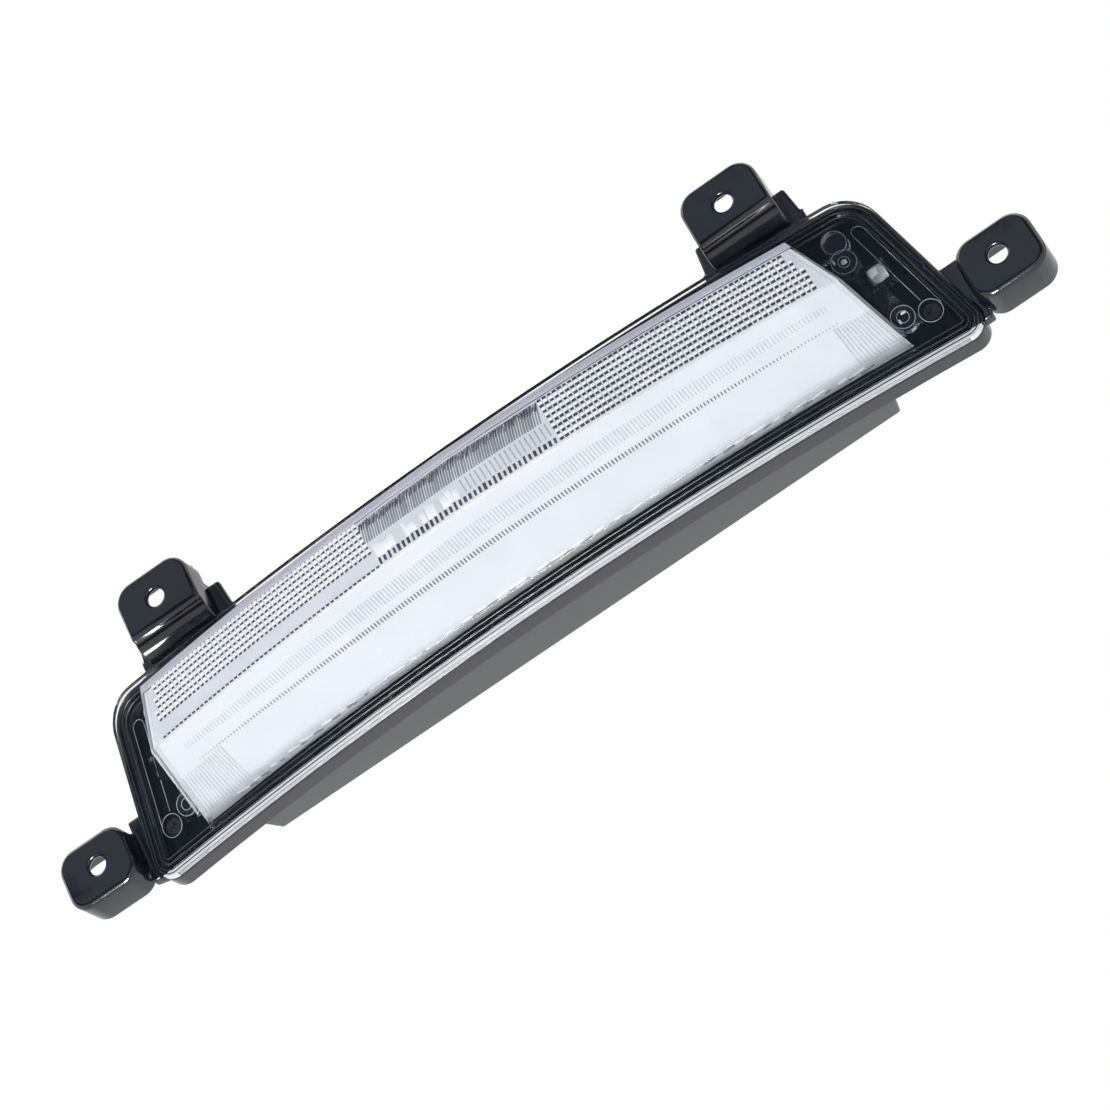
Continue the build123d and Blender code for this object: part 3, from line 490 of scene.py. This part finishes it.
def bead_tree():
    """Round bead along every line of a guide."""
    tree, start, end, keys = node_tree("bead_on_line", {"Radius": "Float", "Finish": "Material"})
    line = tree.nodes.new("GeometryNodeMeshToCurve")
    section = tree.nodes.new("GeometryNodeCurvePrimitiveCircle")
    section.inputs["Resolution"].default_value = 8
    sweep = tree.nodes.new("GeometryNodeCurveToMesh")
    sweep.inputs["Fill Caps"].default_value = True
    tree.links.new(start.outputs["Geometry"], line.inputs["Mesh"])
    tree.links.new(line.outputs["Curve"], sweep.inputs["Curve"])
    tree.links.new(start.outputs["Radius"], section.inputs["Radius"])
    tree.links.new(section.outputs["Curve"], sweep.inputs["Profile Curve"])
    finish_tree(tree, start, end, sweep.outputs["Mesh"])
    return tree, keys


RELIEF, RELIEF_KEYS = relief_tree()
BEAD, BEAD_KEYS = bead_tree()


def settled(obj, name):
    """Plain mesh of what an object's modifiers make, as a new object in place of the first."""
    view = bpy.context.evaluated_depsgraph_get()
    mesh = bpy.data.meshes.new_from_object(obj.evaluated_get(view))
    bpy.data.objects.remove(obj)
    mesh.name = name
    piece = bpy.data.objects.new(name, mesh)
    bpy.context.collection.objects.link(piece)
    return piece


def grown(guide, name, tree, keys, **values):
    """Piece that a tree makes on a guide mesh."""
    obj = bpy.data.objects.new(name + "_guide", guide)
    bpy.context.collection.objects.link(obj)
    modifier = obj.modifiers.new("tree", "NODES")
    modifier.node_group = tree
    for label, value in values.items():
        modifier[keys[label]] = value
    return settled(obj, name)


def relief(name, shape, guides, full_size, finish):
    """Copies of a shape on guides: place, outward direction, upward direction and share of the size."""
    width, height, depth = full_size
    mesh = bpy.data.meshes.new(name + "_guide")
    mesh.from_pydata([tuple(guide[0]) for guide in guides], [], [])
    for index, label in enumerate(("facing", "upright", "size"), start=1):
        attribute = mesh.attributes.new(label, "FLOAT_VECTOR", "POINT")
        flat = [value for guide in guides for value in guide[index]]
        attribute.data.foreach_set("vector", flat)
    return grown(mesh, name, RELIEF, RELIEF_KEYS,
                 Shape=shape, Width=width, Height=height, Depth=depth, Finish=finish)


def bead(name, lines, radius, finish):
    """Beads along closed or open lines of points."""
    points, edges = [], []
    for line, closed in lines:
        first = len(points)
        points += [tuple(p) for p in line]
        edges += [(first + i, first + i + 1) for i in range(len(line) - 1)]
        if closed:
            edges.append((len(points) - 1, first))
    mesh = bpy.data.meshes.new(name + "_guide")
    mesh.from_pydata(points, edges, [])
    return grown(mesh, name, BEAD, BEAD_KEYS, Radius=radius, Finish=finish)


def dome_shape():
    """Unit pillow: eight-sided, rounded over to a flat top."""
    rings = [(0.5, -0.3), (0.5, 0.15), (0.40, 0.7), (0.20, 1.0)]
    corner = 0.86
    points, faces = [], []
    for radius, height in rings:
        for k in range(8):
            reach = radius * (1 if k % 2 == 0 else corner * sqrt(2))
            points.append((reach * cos(k * pi / 4), reach * sin(k * pi / 4), height))
    for ring in range(len(rings) - 1):
        for k in range(8):
            a, b = ring * 8 + k, ring * 8 + (k + 1) % 8
            faces.append((a, b, b + 8, a + 8))
    faces.append(tuple(range(7, -1, -1)))
    faces.append(tuple(range(len(points) - 8, len(points))))
    return mesh_object("pillow_shape", points, faces, OPTIC_BRIGHT)


def bar_shape():
    """Unit flute: half round across, straight along its height, with sloped ends."""
    section = [(-0.5, -0.3), (0.5, -0.3), (0.5, 0.1), (0.3, 0.75), (0.0, 1.0), (-0.3, 0.75), (-0.5, 0.1)]
    count = len(section)
    points = [(x, side * (0.5 - 0.06 * max(z, 0)), z) for side in (-1, 1) for x, z in section]
    faces = [(k, (k + 1) % count, (k + 1) % count + count, k + count) for k in range(count)]
    faces.append(tuple(range(count - 1, -1, -1)))
    faces.append(tuple(range(count, 2 * count)))
    mesh = mesh_object("flute_shape", points, faces, OPTIC_BRIGHT)
    outward(mesh)
    return mesh


def outward(obj):
    """Turns the faces of a closed mesh outwards."""
    bm = bmesh.new()
    bm.from_mesh(obj.data)
    bmesh.ops.recalc_face_normals(bm, faces=bm.faces)
    bm.to_mesh(obj.data)
    bm.free()


def nose_slope(x):
    """Slope of the nose's bow at x."""
    step = 0.1 * MM
    return (nose_bow(x + step) - nose_bow(x - step)) / (2 * step)


def on_nose(x, z, y_of, lean, inset, proud, slant, size):
    """Guide on a sloping face of the nose, standing proud of it, with its height turned by slant."""
    facing = Vector((nose_slope(x), -1, -lean)).normalized()
    upright = Vector((0, -lean, 1)).normalized()
    side = upright.cross(facing)
    return (Vector((x, y_of(x, z, inset), z)) + facing * proud, facing,
            upright * cos(slant) + side * sin(slant), size)


def on_band(x, z, proud=0.0, slant=0.0, size=(1, 1, 1), inset=OPTIC_INSET):
    """Guide on the front band."""
    return on_nose(x, z, band_y, BAND_LEAN, inset, proud, slant, size)


def on_under(x, z, slant=0.0, size=(1, 1, 1)):
    """Guide on the sloping underside of the optic."""
    return on_nose(x, z, under_y, UNDER_LEAN, OPTIC_INSET, 0.0, slant, size)


def optic_body():
    """Closed bright body of the optic, just inside the clear nose, its back along the flange's slope."""
    columns = 120
    corners = ((OPTIC_FOOT_Z, None), (OPTIC_FOOT_Z, under_y), (OPTIC_CREASE_Z, band_y),
               (OPTIC_TOP_Z, band_y), (OPTIC_HEAD_Z, top_y), (OPTIC_HEAD_Z, None))
    ring = len(corners)
    points = []
    for j in range(columns + 1):
        share = 2 * j / columns - 1
        for z, y_of in corners:
            x = share * nose_half(z, OPTIC_END_INSET)
            y = y_of(x, z, OPTIC_INSET) if y_of else flange_y(x, z, OPTIC_SEAT)
            points.append((x, y, z))
    faces = []
    for first in range(0, columns * ring, ring):
        for k in range(ring):
            following = (k + 1) % ring
            faces.append((first + k, first + following, first + ring + following, first + ring + k))
    faces.append(tuple(range(ring)))
    faces.append(tuple(columns * ring + k for k in reversed(range(ring))))
    body = mesh_object("optic_body", points, faces, OPTIC_BRIGHT)
    body.data.materials.append(OPTIC_UNDER_PAINTED_SHADE)
    # In each column the second face is the underside, in the darker copy of the finish: painted shade
    for face in list(body.data.polygons)[1:columns * ring:ring]:
        face.material_index = 1
    outward(body)
    body.data.shade_smooth()
    body.data.set_sharp_from_angle(angle=radians(20))
    return body


def spread(low, high, pitch):
    """Evenly pitched places from low to high."""
    return [low + (i + 0.5) * pitch for i in range(int((high - low) / pitch))]


def row_places(side, z):
    """Columns of one row of the band at one side."""
    reach = nose_half(z, OPTIC_INSET) - SIDE_MARGIN
    if side > 0:
        reach = min(reach, RIGHT_REACH)
    return [side * x for x in spread(MIDDLE_HALF, reach, COLUMN_PITCH)]


def band_rows():
    """Side and height of every row of the band."""
    return [(side, row * MM) for side, rows in ((-1, LEFT_ROWS), (1, RIGHT_ROWS)) for row in rows]


def band_pillows(shape):
    """Rows of low domes between the dashes of the band, their tops in a painted highlight."""
    guides = []
    for side, z in band_rows():
        centre = z + COLUMN_PITCH / 2
        if centre < OPTIC_TOP_Z:
            guides += [on_band(x, centre) for x in row_places(side, z)]
    return relief("optic_pillows", shape, guides, PILLOW_SIZE, OPTIC_PAINTED_GLINT)


def band_dashes(shape):
    """Grooves between the rows of pillows, shorter than a pillow, in painted dark shade."""
    draw = np.random.default_rng(7)
    left, right = [], []
    for side, z in band_rows():
        for x in row_places(side, z):
            wave = draw.uniform(0.85, 1.15)
            if side > 0:
                right.append(on_band(x, z, size=(wave, wave, 1)))
            else:
                left.append(on_band(x, z, slant=-0.25, size=(wave, 0.85, 1)))
    return [relief("optic_dashes_right", shape, right, RIGHT_DASH_SIZE, GROOVE_PAINTED_DARK_SHADE),
            relief("optic_dashes_left", shape, left, LEFT_DASH_SIZE, GROOVE_PAINTED_DARK_SHADE)]


def crease_marks(shape):
    """Dashed line at the crease on the left, and the row of bars in the middle, both in painted dark
    shade.
    """
    reach = nose_half(OPTIC_CREASE_Z) - CREASE_MARGIN
    draw = np.random.default_rng(11)
    left, middle = [], []
    for x in spread(MIDDLE_HALF, reach, COLUMN_PITCH):
        left.append(on_band(-x, OPTIC_CREASE_Z + CREASE_DASH_RISE))
    for x in spread(-MIDDLE_HALF, MIDDLE_HALF, COLUMN_PITCH):
        middle.append(on_band(x, OPTIC_CREASE_Z + CREASE_BAR_RISE, slant=0.12,
                              size=(draw.uniform(0.8, 1.1), draw.uniform(0.75, 1.15), 1)))
    return [relief("crease_dashes", shape, left, CREASE_DASH_SIZE, GROOVE_PAINTED_DARK_SHADE),
            relief("crease_bars", shape, middle, CREASE_BAR_SIZE, GROOVE_PAINTED_DARK_SHADE)]


def middle_flutes(shape):
    """Slanted flutes in painted grey shade and marks in painted dark shade in the upper half of the
    middle, with upright ones in painted pale shade and facets in a painted highlight in its lower half.
    """
    draw = np.random.default_rng(3)
    slanted, marks, upright, facets = [], [], [], []
    for x in spread(-MIDDLE_HALF, MIDDLE_HALF, MIDDLE_PITCH):
        slanted.append(on_band(x, MIDDLE_FLUTE_Z, slant=0.3, size=(draw.uniform(0.7, 1.2), 1, 1)))
        marks.append(on_band(x + draw.uniform(-0.3, 0.3) * MM, MIDDLE_MARK_Z, slant=0.5, proud=0.05 * MM,
                             size=(draw.uniform(0.4, 1.0), draw.uniform(0.4, 1.1), 1)))
    for x in spread(0.5 * MM, MIDDLE_HALF, COLUMN_PITCH):
        upright.append(on_band(x, MIDDLE_LINE_Z))
    for x in MIDDLE_FACETS:
        z = MIDDLE_FACET_Z + draw.uniform(-0.3, 0.5) * MM
        slant = draw.uniform(-0.12, 0.2)
        facets.append(on_band(x * MM, z, slant=slant,
                              size=(draw.uniform(0.4, 0.95), draw.uniform(0.6, 1.1), 1)))
    return [relief("middle_flutes", shape, slanted, MIDDLE_FLUTE_SIZE, GROOVE_PAINTED_GREY_SHADE),
            relief("middle_marks", shape, marks, MIDDLE_MARK_SIZE, GROOVE_PAINTED_DARK_SHADE),
            relief("middle_lines", shape, upright, MIDDLE_LINE_SIZE, PALE_PAINTED_SHADE_AND_LIGHT),
            relief("middle_facets", shape, facets, MIDDLE_FACET_SIZE, OPTIC_PAINTED_GLINT)]


def under_relief(shape):
    """Fine flutes and end flutes in painted pale shade, and the tick line in painted dark shade, on the
    sloping underside.
    """
    fine, ticks, ends = [], [], []
    for x in spread(-FINE_REACH, FINE_REACH, FINE_PITCH):
        fade = 1 - abs(x / FINE_FADE) ** 2.5
        rise = FINE_RISE * (x / FINE_RISE_REACH) ** 2
        fine.append(on_under(x, FLUTE_BAND_Z + rise, size=(0.5 + 0.5 * fade, 0.35 + 0.75 * fade, 1)))
        ticks.append(on_under(x, TICK_LINE_Z + rise, size=(0.35 + 0.65 * fade, 0.2 + 0.8 * fade, 1)))
    half = nose_half(0, OPTIC_END_INSET) - END_FLUTE_MARGIN
    lean = atan(SIDE_TAPER / hypot(1, UNDER_LEAN))
    for side, count in ((-1, LEFT_FLUTES), (1, RIGHT_FLUTES)):
        for i in range(count):
            x = half - i * FINE_PITCH
            ends.append(on_under(side * x, 0, slant=-lean * side * (1 - i / count)))
    return [relief("under_flutes", shape, fine, FINE_FLUTE_SIZE, PALE_PAINTED_SHADE_AND_LIGHT),
            relief("under_ticks", shape, ticks, TICK_SIZE, GROOVE_PAINTED_DARK_SHADE),
            relief("end_flutes", shape, ends, END_FLUTE_SIZE, PALE_PAINTED_SHADE_AND_LIGHT)]


def foot_glints(shape):
    """Broken facets along the foot of the underside, in painted glints and painted shadows."""
    draw = np.random.default_rng(5)
    bright, dark = [], []
    for x in spread(FOOT_LEFT, FOOT_RIGHT, FOOT_PITCH):
        place = x + draw.uniform(-1.5, 1.5) * MM
        bright.append(on_under(place, FOOT_GLINT_Z, size=(draw.uniform(0.5, 1.2), 1, 1)))
        dark.append(on_under(place + FOOT_SHADOW_SHIFT, FOOT_SHADOW_Z,
                             size=(draw.uniform(0.3, 1.2), 1, 1)))
    return [relief("foot_glints", shape, bright, FOOT_GLINT_SIZE, OPTIC_PAINTED_GLINT),
            relief("foot_shadows", shape, dark, FOOT_SHADOW_SIZE, GROOVE_PAINTED_GREY_SHADE)]


def top_edge_ribs(shape):
    """Fine ribs on the top edge of the clear nose, in the same painted lavender light as that edge."""
    middle = (TOP_STRIP_Z + RIB_TOP_Z) / 2
    reach = nose_half(RIB_TOP_Z) - RIB_MARGIN
    guides = [on_band(x, middle, inset=0.0) for x in spread(-reach, reach, RIB_PITCH)]
    return relief("nose_top_ribs", shape, guides, RIB_SIZE, EDGE_PAINTED_LAVENDER_LIGHT)


def merged_copy(node, name, finish):
    """Copy of a CAD node as one merged mesh, its flat faces whole."""
    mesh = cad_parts[node].data.copy()
    bm = bmesh.new()
    bm.from_mesh(mesh)
    bmesh.ops.remove_doubles(bm, verts=bm.verts, dist=0.002 * MM)
    bmesh.ops.dissolve_limit(bm, angle_limit=radians(0.3), verts=bm.verts, edges=bm.edges)
    bm.to_mesh(mesh)
    bm.free()
    mesh.materials.clear()
    mesh.materials.append(finish)
    copy = bpy.data.objects.new(name, mesh)
    bpy.context.collection.objects.link(copy)
    return copy


def soften(copy, name, edge, angle):
    """Rounds the sharp edges of a merged copy and shades its curved faces smooth."""
    copy.data.shade_smooth()
    rounding = copy.modifiers.new("edges", "BEVEL")
    rounding.width = edge
    rounding.segments = 2
    rounding.limit_method = "ANGLE"
    rounding.angle_limit = angle
    rounding.use_clamp_overlap = False
    weight = copy.modifiers.new("shading", "WEIGHTED_NORMAL")
    weight.weight = 100
    return settled(copy, name)


def lens_copy():
    """The clear lens with painted lavender light on the top edge of its nose and a painted highlight on
    the bottom edge of its flange.
    """
    copy = merged_copy("outer_lens", "clear_lens_copy", CLEAR_LENS)
    mesh = copy.data
    mesh.materials.append(EDGE_PAINTED_LAVENDER_LIGHT)
    mesh.materials.append(EDGE_PAINTED_HIGHLIGHT)
    front_skin = 0.6 * MM
    plate_back = LENS_PLATE + 0.2 * MM
    bm = bmesh.new()
    bm.from_mesh(mesh)
    for height in (TOP_STRIP_Z, LOW_STRIP_Z):
        bmesh.ops.bisect_plane(bm, geom=bm.verts[:] + bm.edges[:] + bm.faces[:],
                               plane_co=(0, 0, height), plane_no=(0, 0, 1))
    for face in bm.faces:
        centre = face.calc_center_median()
        x_on_nose = max(-NOSE_HALF, min(NOSE_HALF, centre.x))
        on_front = abs(centre.y - band_y(x_on_nose, centre.z)) < front_skin
        # Faces of the nose's top edge take painted lavender light
        if TOP_STRIP_Z < centre.z < NOSE_TOP_Z and on_front and face.normal.y < -0.8:
            face.material_index = 1
        # Faces of the flange's bottom edge take a painted highlight
        if centre.z < LOW_STRIP_Z and centre.y < flange_y(centre.x, centre.z, plate_back):
            face.material_index = 2
    bm.to_mesh(mesh)
    bm.free()
    return soften(copy, "clear_lens", LENS_EDGE_R, radians(30))


def housing_copy():
    """The moulded tray and its ears with softened edges."""
    copy = merged_copy("housing", "housing_shell_copy", HOUSING_BLACK)
    return soften(copy, "housing_shell", HOUSING_EDGE_R, radians(60))


def rounded_outline(inset):
    """Points (x, z) round the flange, moved in by inset."""
    low, high = FLANGE_LOW + inset, FLANGE_HIGH - inset
    side = inset * hypot(1, FLANGE_TAPER)
    half_low, half_high = flange_half(low) - side, flange_half(high) - side
    corners = [(Vector((half_low, low)), LOW_CORNER), (Vector((half_high, high)), HIGH_CORNER),
               (Vector((-half_high, high)), HIGH_CORNER), (Vector((-half_low, low)), LOW_CORNER)]
    points = []
    for index, (corner, full_radius) in enumerate(corners):
        radius = max(full_radius - inset, 1.2 * MM)
        into = (corner - corners[index - 1][0]).normalized()
        out = (corners[(index + 1) % 4][0] - corner).normalized()
        turn = into.angle(out)
        back = radius * tan(turn / 2)
        if points:
            start, stop = points[-1], corner - into * back
            steps = max(int((stop - start).length / (4 * MM)), 1)
            points += [start.lerp(stop, i / steps) for i in range(1, steps)]
        centre = corner - into * back + Vector((-into.y, into.x)) * radius
        spoke = (corner - into * back) - centre
        for i in range(9):
            angle = turn * i / 8
            points.append(centre + Vector((spoke.x * cos(angle) - spoke.y * sin(angle),
                                           spoke.x * sin(angle) + spoke.y * cos(angle))))
    start, stop = points[-1], points[0]
    steps = int((stop - start).length / (4 * MM))
    points += [start.lerp(stop, i / steps) for i in range(1, steps)]
    return points


def flange_beads():
    """Raised lines that follow the outline of the flange, one inside the other."""
    lines = []
    for inset in BEAD_INSETS:
        outline = rounded_outline(inset * MM)
        lines.append(([(p.x, flange_y(p.x, p.y) + 0.02 * MM, p.y) for p in outline], True))
    return bead("flange_beads", lines, BEAD_R, BEAD_GLOSS)


def circle_line(x, z, radius, depth):
    """Round line on the flange's slope at a depth behind its front."""
    steps = 28
    line = []
    for i in range(steps):
        angle = 2 * pi * i / steps
        px, pz = x + radius * cos(angle), z + radius * sin(angle)
        line.append((px, flange_y(px, pz, depth), pz))
    return line


def end_place(share, z):
    """X of a detail that stands at a share of the way from the nose's end to the flange's edge."""
    return nose_half(z) + share * (flange_half(z) - nose_half(z))


def optic_end(side):
    """What the CAD optic has beside the nose at one side: plate, round posts, ring and prism."""
    copy = merged_copy("inner_lens", "optic_end", CLEAR_OPTIC)
    mesh = copy.data
    bm = bmesh.new()
    bm.from_mesh(mesh)
    cut = bmesh.ops.bisect_plane(
        bm, geom=bm.verts[:] + bm.edges[:] + bm.faces[:], clear_inner=True,
        plane_co=(side * nose_half(0, OPTIC_INSET + 0.2 * MM), 0, 0), plane_no=(side, 0, SIDE_TAPER))
    rim = [element for element in cut["geom_cut"] if isinstance(element, bmesh.types.BMEdge)]
    bmesh.ops.holes_fill(bm, edges=rim, sides=0)
    bm.to_mesh(mesh)
    bm.free()
    mesh.shade_smooth()
    mesh.set_sharp_from_angle(angle=radians(30))
    copy.name = "optic_end_right" if side > 0 else "optic_end_left"
    return copy


def slot_line(side):
    """Open line round the slot in the bezel at one side."""
    outline = [(-SLOT_R, z * MM) for z in SLOT_INNER_SIDE]
    outline += [(-SLOT_R * cos(i * pi / 8), SLOT_TOP_Z + SLOT_R * sin(i * pi / 8)) for i in range(9)]
    outline += [(SLOT_R, z * MM) for z in SLOT_OUTER_SIDE]
    line = []
    for across, z in outline:
        half = flange_half(z)
        line.append((side * (half - SLOT_MIDDLE + across), flange_y(half, z, END_FRONT), z))
    return line


def end_rings():
    """Thin rims of the round posts, the ring, the boss and the slot beside them, at both ends, drawn as
    lines of painted pale light.
    """
    lines = []
    for side in (-1, 1):
        for (share, z), radii in END_RIMS:
            for radius in radii:
                line = circle_line(end_place(share, z), z, radius, END_FRONT)
                lines.append(([(side * x, y, z_at) for x, y, z_at in line], True))
        lines.append((slot_line(side), False))
    return bead("end_rings", lines, RIM_LINE_R, PALE_PAINTED_SHADE_AND_LIGHT)


def end_facets(shape):
    """Painted glints on the prism and the posts, and the prism itself as a block in painted pale light.
    """
    guides = []
    facing = Vector((0, -1, -FLANGE_LEAN)).normalized()
    upright = Vector((0, -FLANGE_LEAN, 1)).normalized()
    for (share, z), across, up, width, height in END_GLINTS:
        x = end_place(share, z) + across * MM
        z_at = z + up * MM
        place = Vector((x, flange_y(x, z_at, END_FRONT + 0.1 * MM), z_at))
        guides.append((place, facing, upright, (width, height, GLINT_DEPTH)))
    x, z = end_place(*PRISM), PRISM[1]
    block = [(Vector((x, flange_y(x, z, END_FRONT + 0.3 * MM), z)), facing, upright, PRISM_SIZE)]
    return [relief("end_facets", shape, guides, (MM, MM, MM), OPTIC_PAINTED_GLINT),
            relief("prism_block", shape, block, (MM, MM, MM), PALE_PAINTED_SHADE_AND_LIGHT)]


def carry(pieces):
    """Puts pieces on the lamp's one body."""
    for piece in pieces:
        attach(piece, "root")


pillow = dome_shape()
flute = bar_shape()
optic = optic_body()
ends = [optic_end(side) for side in (-1, 1)]
carry([optic] + ends)
for piece in [optic] + ends:
    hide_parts("inner_lens")
carry([band_pillows(pillow)] + band_dashes(flute) + crease_marks(flute) + middle_flutes(flute))
carry(under_relief(flute) + foot_glints(flute))
carry([end_rings()] + end_facets(pillow))

lens = lens_copy()
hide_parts("outer_lens")
carry([lens, top_edge_ribs(flute)])

shell = housing_copy()
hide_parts("housing")
carry([shell, flange_beads()])

for shape in (pillow, flute):
    bpy.data.objects.remove(shape)


def view_axes():
    """Right, up and back vectors of the camera in the photographed position."""
    back = Vector((sin(VIEW_AZIMUTH) * cos(VIEW_ELEVATION), -cos(VIEW_AZIMUTH) * cos(VIEW_ELEVATION),
                   sin(VIEW_ELEVATION)))
    right = Vector((cos(VIEW_AZIMUTH), sin(VIEW_AZIMUTH), 0))
    up = back.cross(right)
    level_right = cos(VIEW_ROLL) * right + sin(VIEW_ROLL) * up
    level_up = -sin(VIEW_ROLL) * right + cos(VIEW_ROLL) * up
    turned_right = cos(PICTURE_TURN) * level_right - sin(PICTURE_TURN) * level_up
    turned_up = sin(PICTURE_TURN) * level_right + cos(PICTURE_TURN) * level_up
    return turned_right, turned_up, back


def add_camera():
    """The photo's viewpoint."""
    right, up, back = view_axes()
    data = bpy.data.cameras.new("photo_camera")
    data.sensor_width = SENSOR
    data.lens = SENSOR * PIXELS_PER_METRE * VIEW_DISTANCE / PICTURE_SIDE
    camera = bpy.data.objects.new("photo_camera", data)
    turn = Matrix((right, up, back)).transposed().to_4x4()
    camera.matrix_world = Matrix.Translation(VIEW_PIVOT + back * VIEW_DISTANCE) @ turn
    bpy.context.collection.objects.link(camera)
    bpy.context.scene.camera = camera


def add_softbox(name, direction, distance, width, height, strength, colour=(1, 1, 1)):
    """An area light in a direction from the object, turned towards it."""
    data = bpy.data.lights.new(name, "AREA")
    data.shape = "RECTANGLE"
    data.size = width
    data.size_y = height
    data.energy = strength
    data.color = colour
    light = bpy.data.objects.new(name, data)
    towards = Vector(direction).normalized()
    light.location = towards * distance
    light.rotation_mode = "QUATERNION"
    light.rotation_quaternion = towards.to_track_quat("Z", "Y")
    bpy.context.collection.objects.link(light)
    return light


def add_surroundings():
    """White to the eye; to the lamp, dim and bluish in front and white behind."""
    world = bpy.data.worlds.new("studio")
    bpy.context.scene.world = world
    world.use_nodes = True
    tree = world.node_tree
    tree.nodes.clear()
    output = tree.nodes.new("ShaderNodeOutputWorld")
    mix = tree.nodes.new("ShaderNodeMixShader")
    white = tree.nodes.new("ShaderNodeBackground")
    white.inputs["Color"].default_value = (1, 1, 1, 1)
    around = tree.nodes.new("ShaderNodeBackground")
    path = tree.nodes.new("ShaderNodeLightPath")
    coords = tree.nodes.new("ShaderNodeTexCoord")
    split = tree.nodes.new("ShaderNodeSeparateXYZ")
    ramp = tree.nodes.new("ShaderNodeValToRGB")
    shift = tree.nodes.new("ShaderNodeMapRange")
    shift.inputs["From Min"].default_value = -1
    shift.inputs["From Max"].default_value = 1
    tree.links.new(coords.outputs["Generated"], split.inputs["Vector"])
    tree.links.new(split.outputs["Y"], shift.inputs["Value"])
    tree.links.new(shift.outputs["Result"], ramp.inputs["Fac"])
    ramp.color_ramp.elements[0].position = FRONT_END
    ramp.color_ramp.elements[0].color = (*FRONT_DIM, 1)
    ramp.color_ramp.elements[1].position = BACK_START
    ramp.color_ramp.elements[1].color = (1, 1, 1, 1)
    tree.links.new(ramp.outputs["Color"], around.inputs["Color"])
    tree.links.new(path.outputs["Is Camera Ray"], mix.inputs["Fac"])
    tree.links.new(around.outputs["Background"], mix.inputs[1])
    tree.links.new(white.outputs["Background"], mix.inputs[2])
    tree.links.new(mix.outputs["Shader"], output.inputs["Surface"])


def add_floor():
    """Pale floor well below the lamp, under the camera."""
    n = Nodes("pale_floor")
    n.link(n.blend_colours(n.noise(3, 2), (0.86, 0.86, 0.86), (0.90, 0.90, 0.90)),
           n.shader.inputs["Base Color"])
    n.set(Roughness=0.8)
    glow = n.add("ShaderNodeEmission")
    path = n.add("ShaderNodeLightPath")
    either = n.add("ShaderNodeMath", operation="MAXIMUM")
    mix = n.add("ShaderNodeMixShader")
    n.link(path.outputs["Is Glossy Ray"], either.inputs[0])
    n.link(path.outputs["Is Transmission Ray"], either.inputs[1])
    n.link(either.outputs["Value"], mix.inputs["Fac"])
    n.link(n.shader.outputs["BSDF"], mix.inputs[1])
    n.link(glow.outputs["Emission"], mix.inputs[2])
    n.link(mix.outputs["Shader"], n.tree.nodes["Material Output"].inputs["Surface"])
    size = 6.0
    height = -1.2
    floor = mesh_object("floor", [(-size, -size, height), (size, -size, height), (size, size, height),
                                  (-size, size, height)], [(0, 1, 2, 3)], n.material)


add_camera()
add_surroundings()
add_floor()
add_softbox("key_below_front", BELOW_FRONT, 1.1, 0.5, 0.16, 7)
add_softbox("fill_front_top", TOP_LEFT_FRONT, 1.8, 0.8, 0.8, 8)
add_softbox("front_panel", HIGH_FRONT, 1.6, 1.2, 0.5, 1.0, (0.8, 0.9, 1.0))

# Shows only as bright lines on glossy edges
edge_glint = add_softbox("edge_glint", BELOW_FRONT, 1.2, 0.6, 0.4, 34)
edge_glint.visible_diffuse = False
edge_glint.visible_transmission = False
bpy.context.scene.view_settings.view_transform = "Standard"
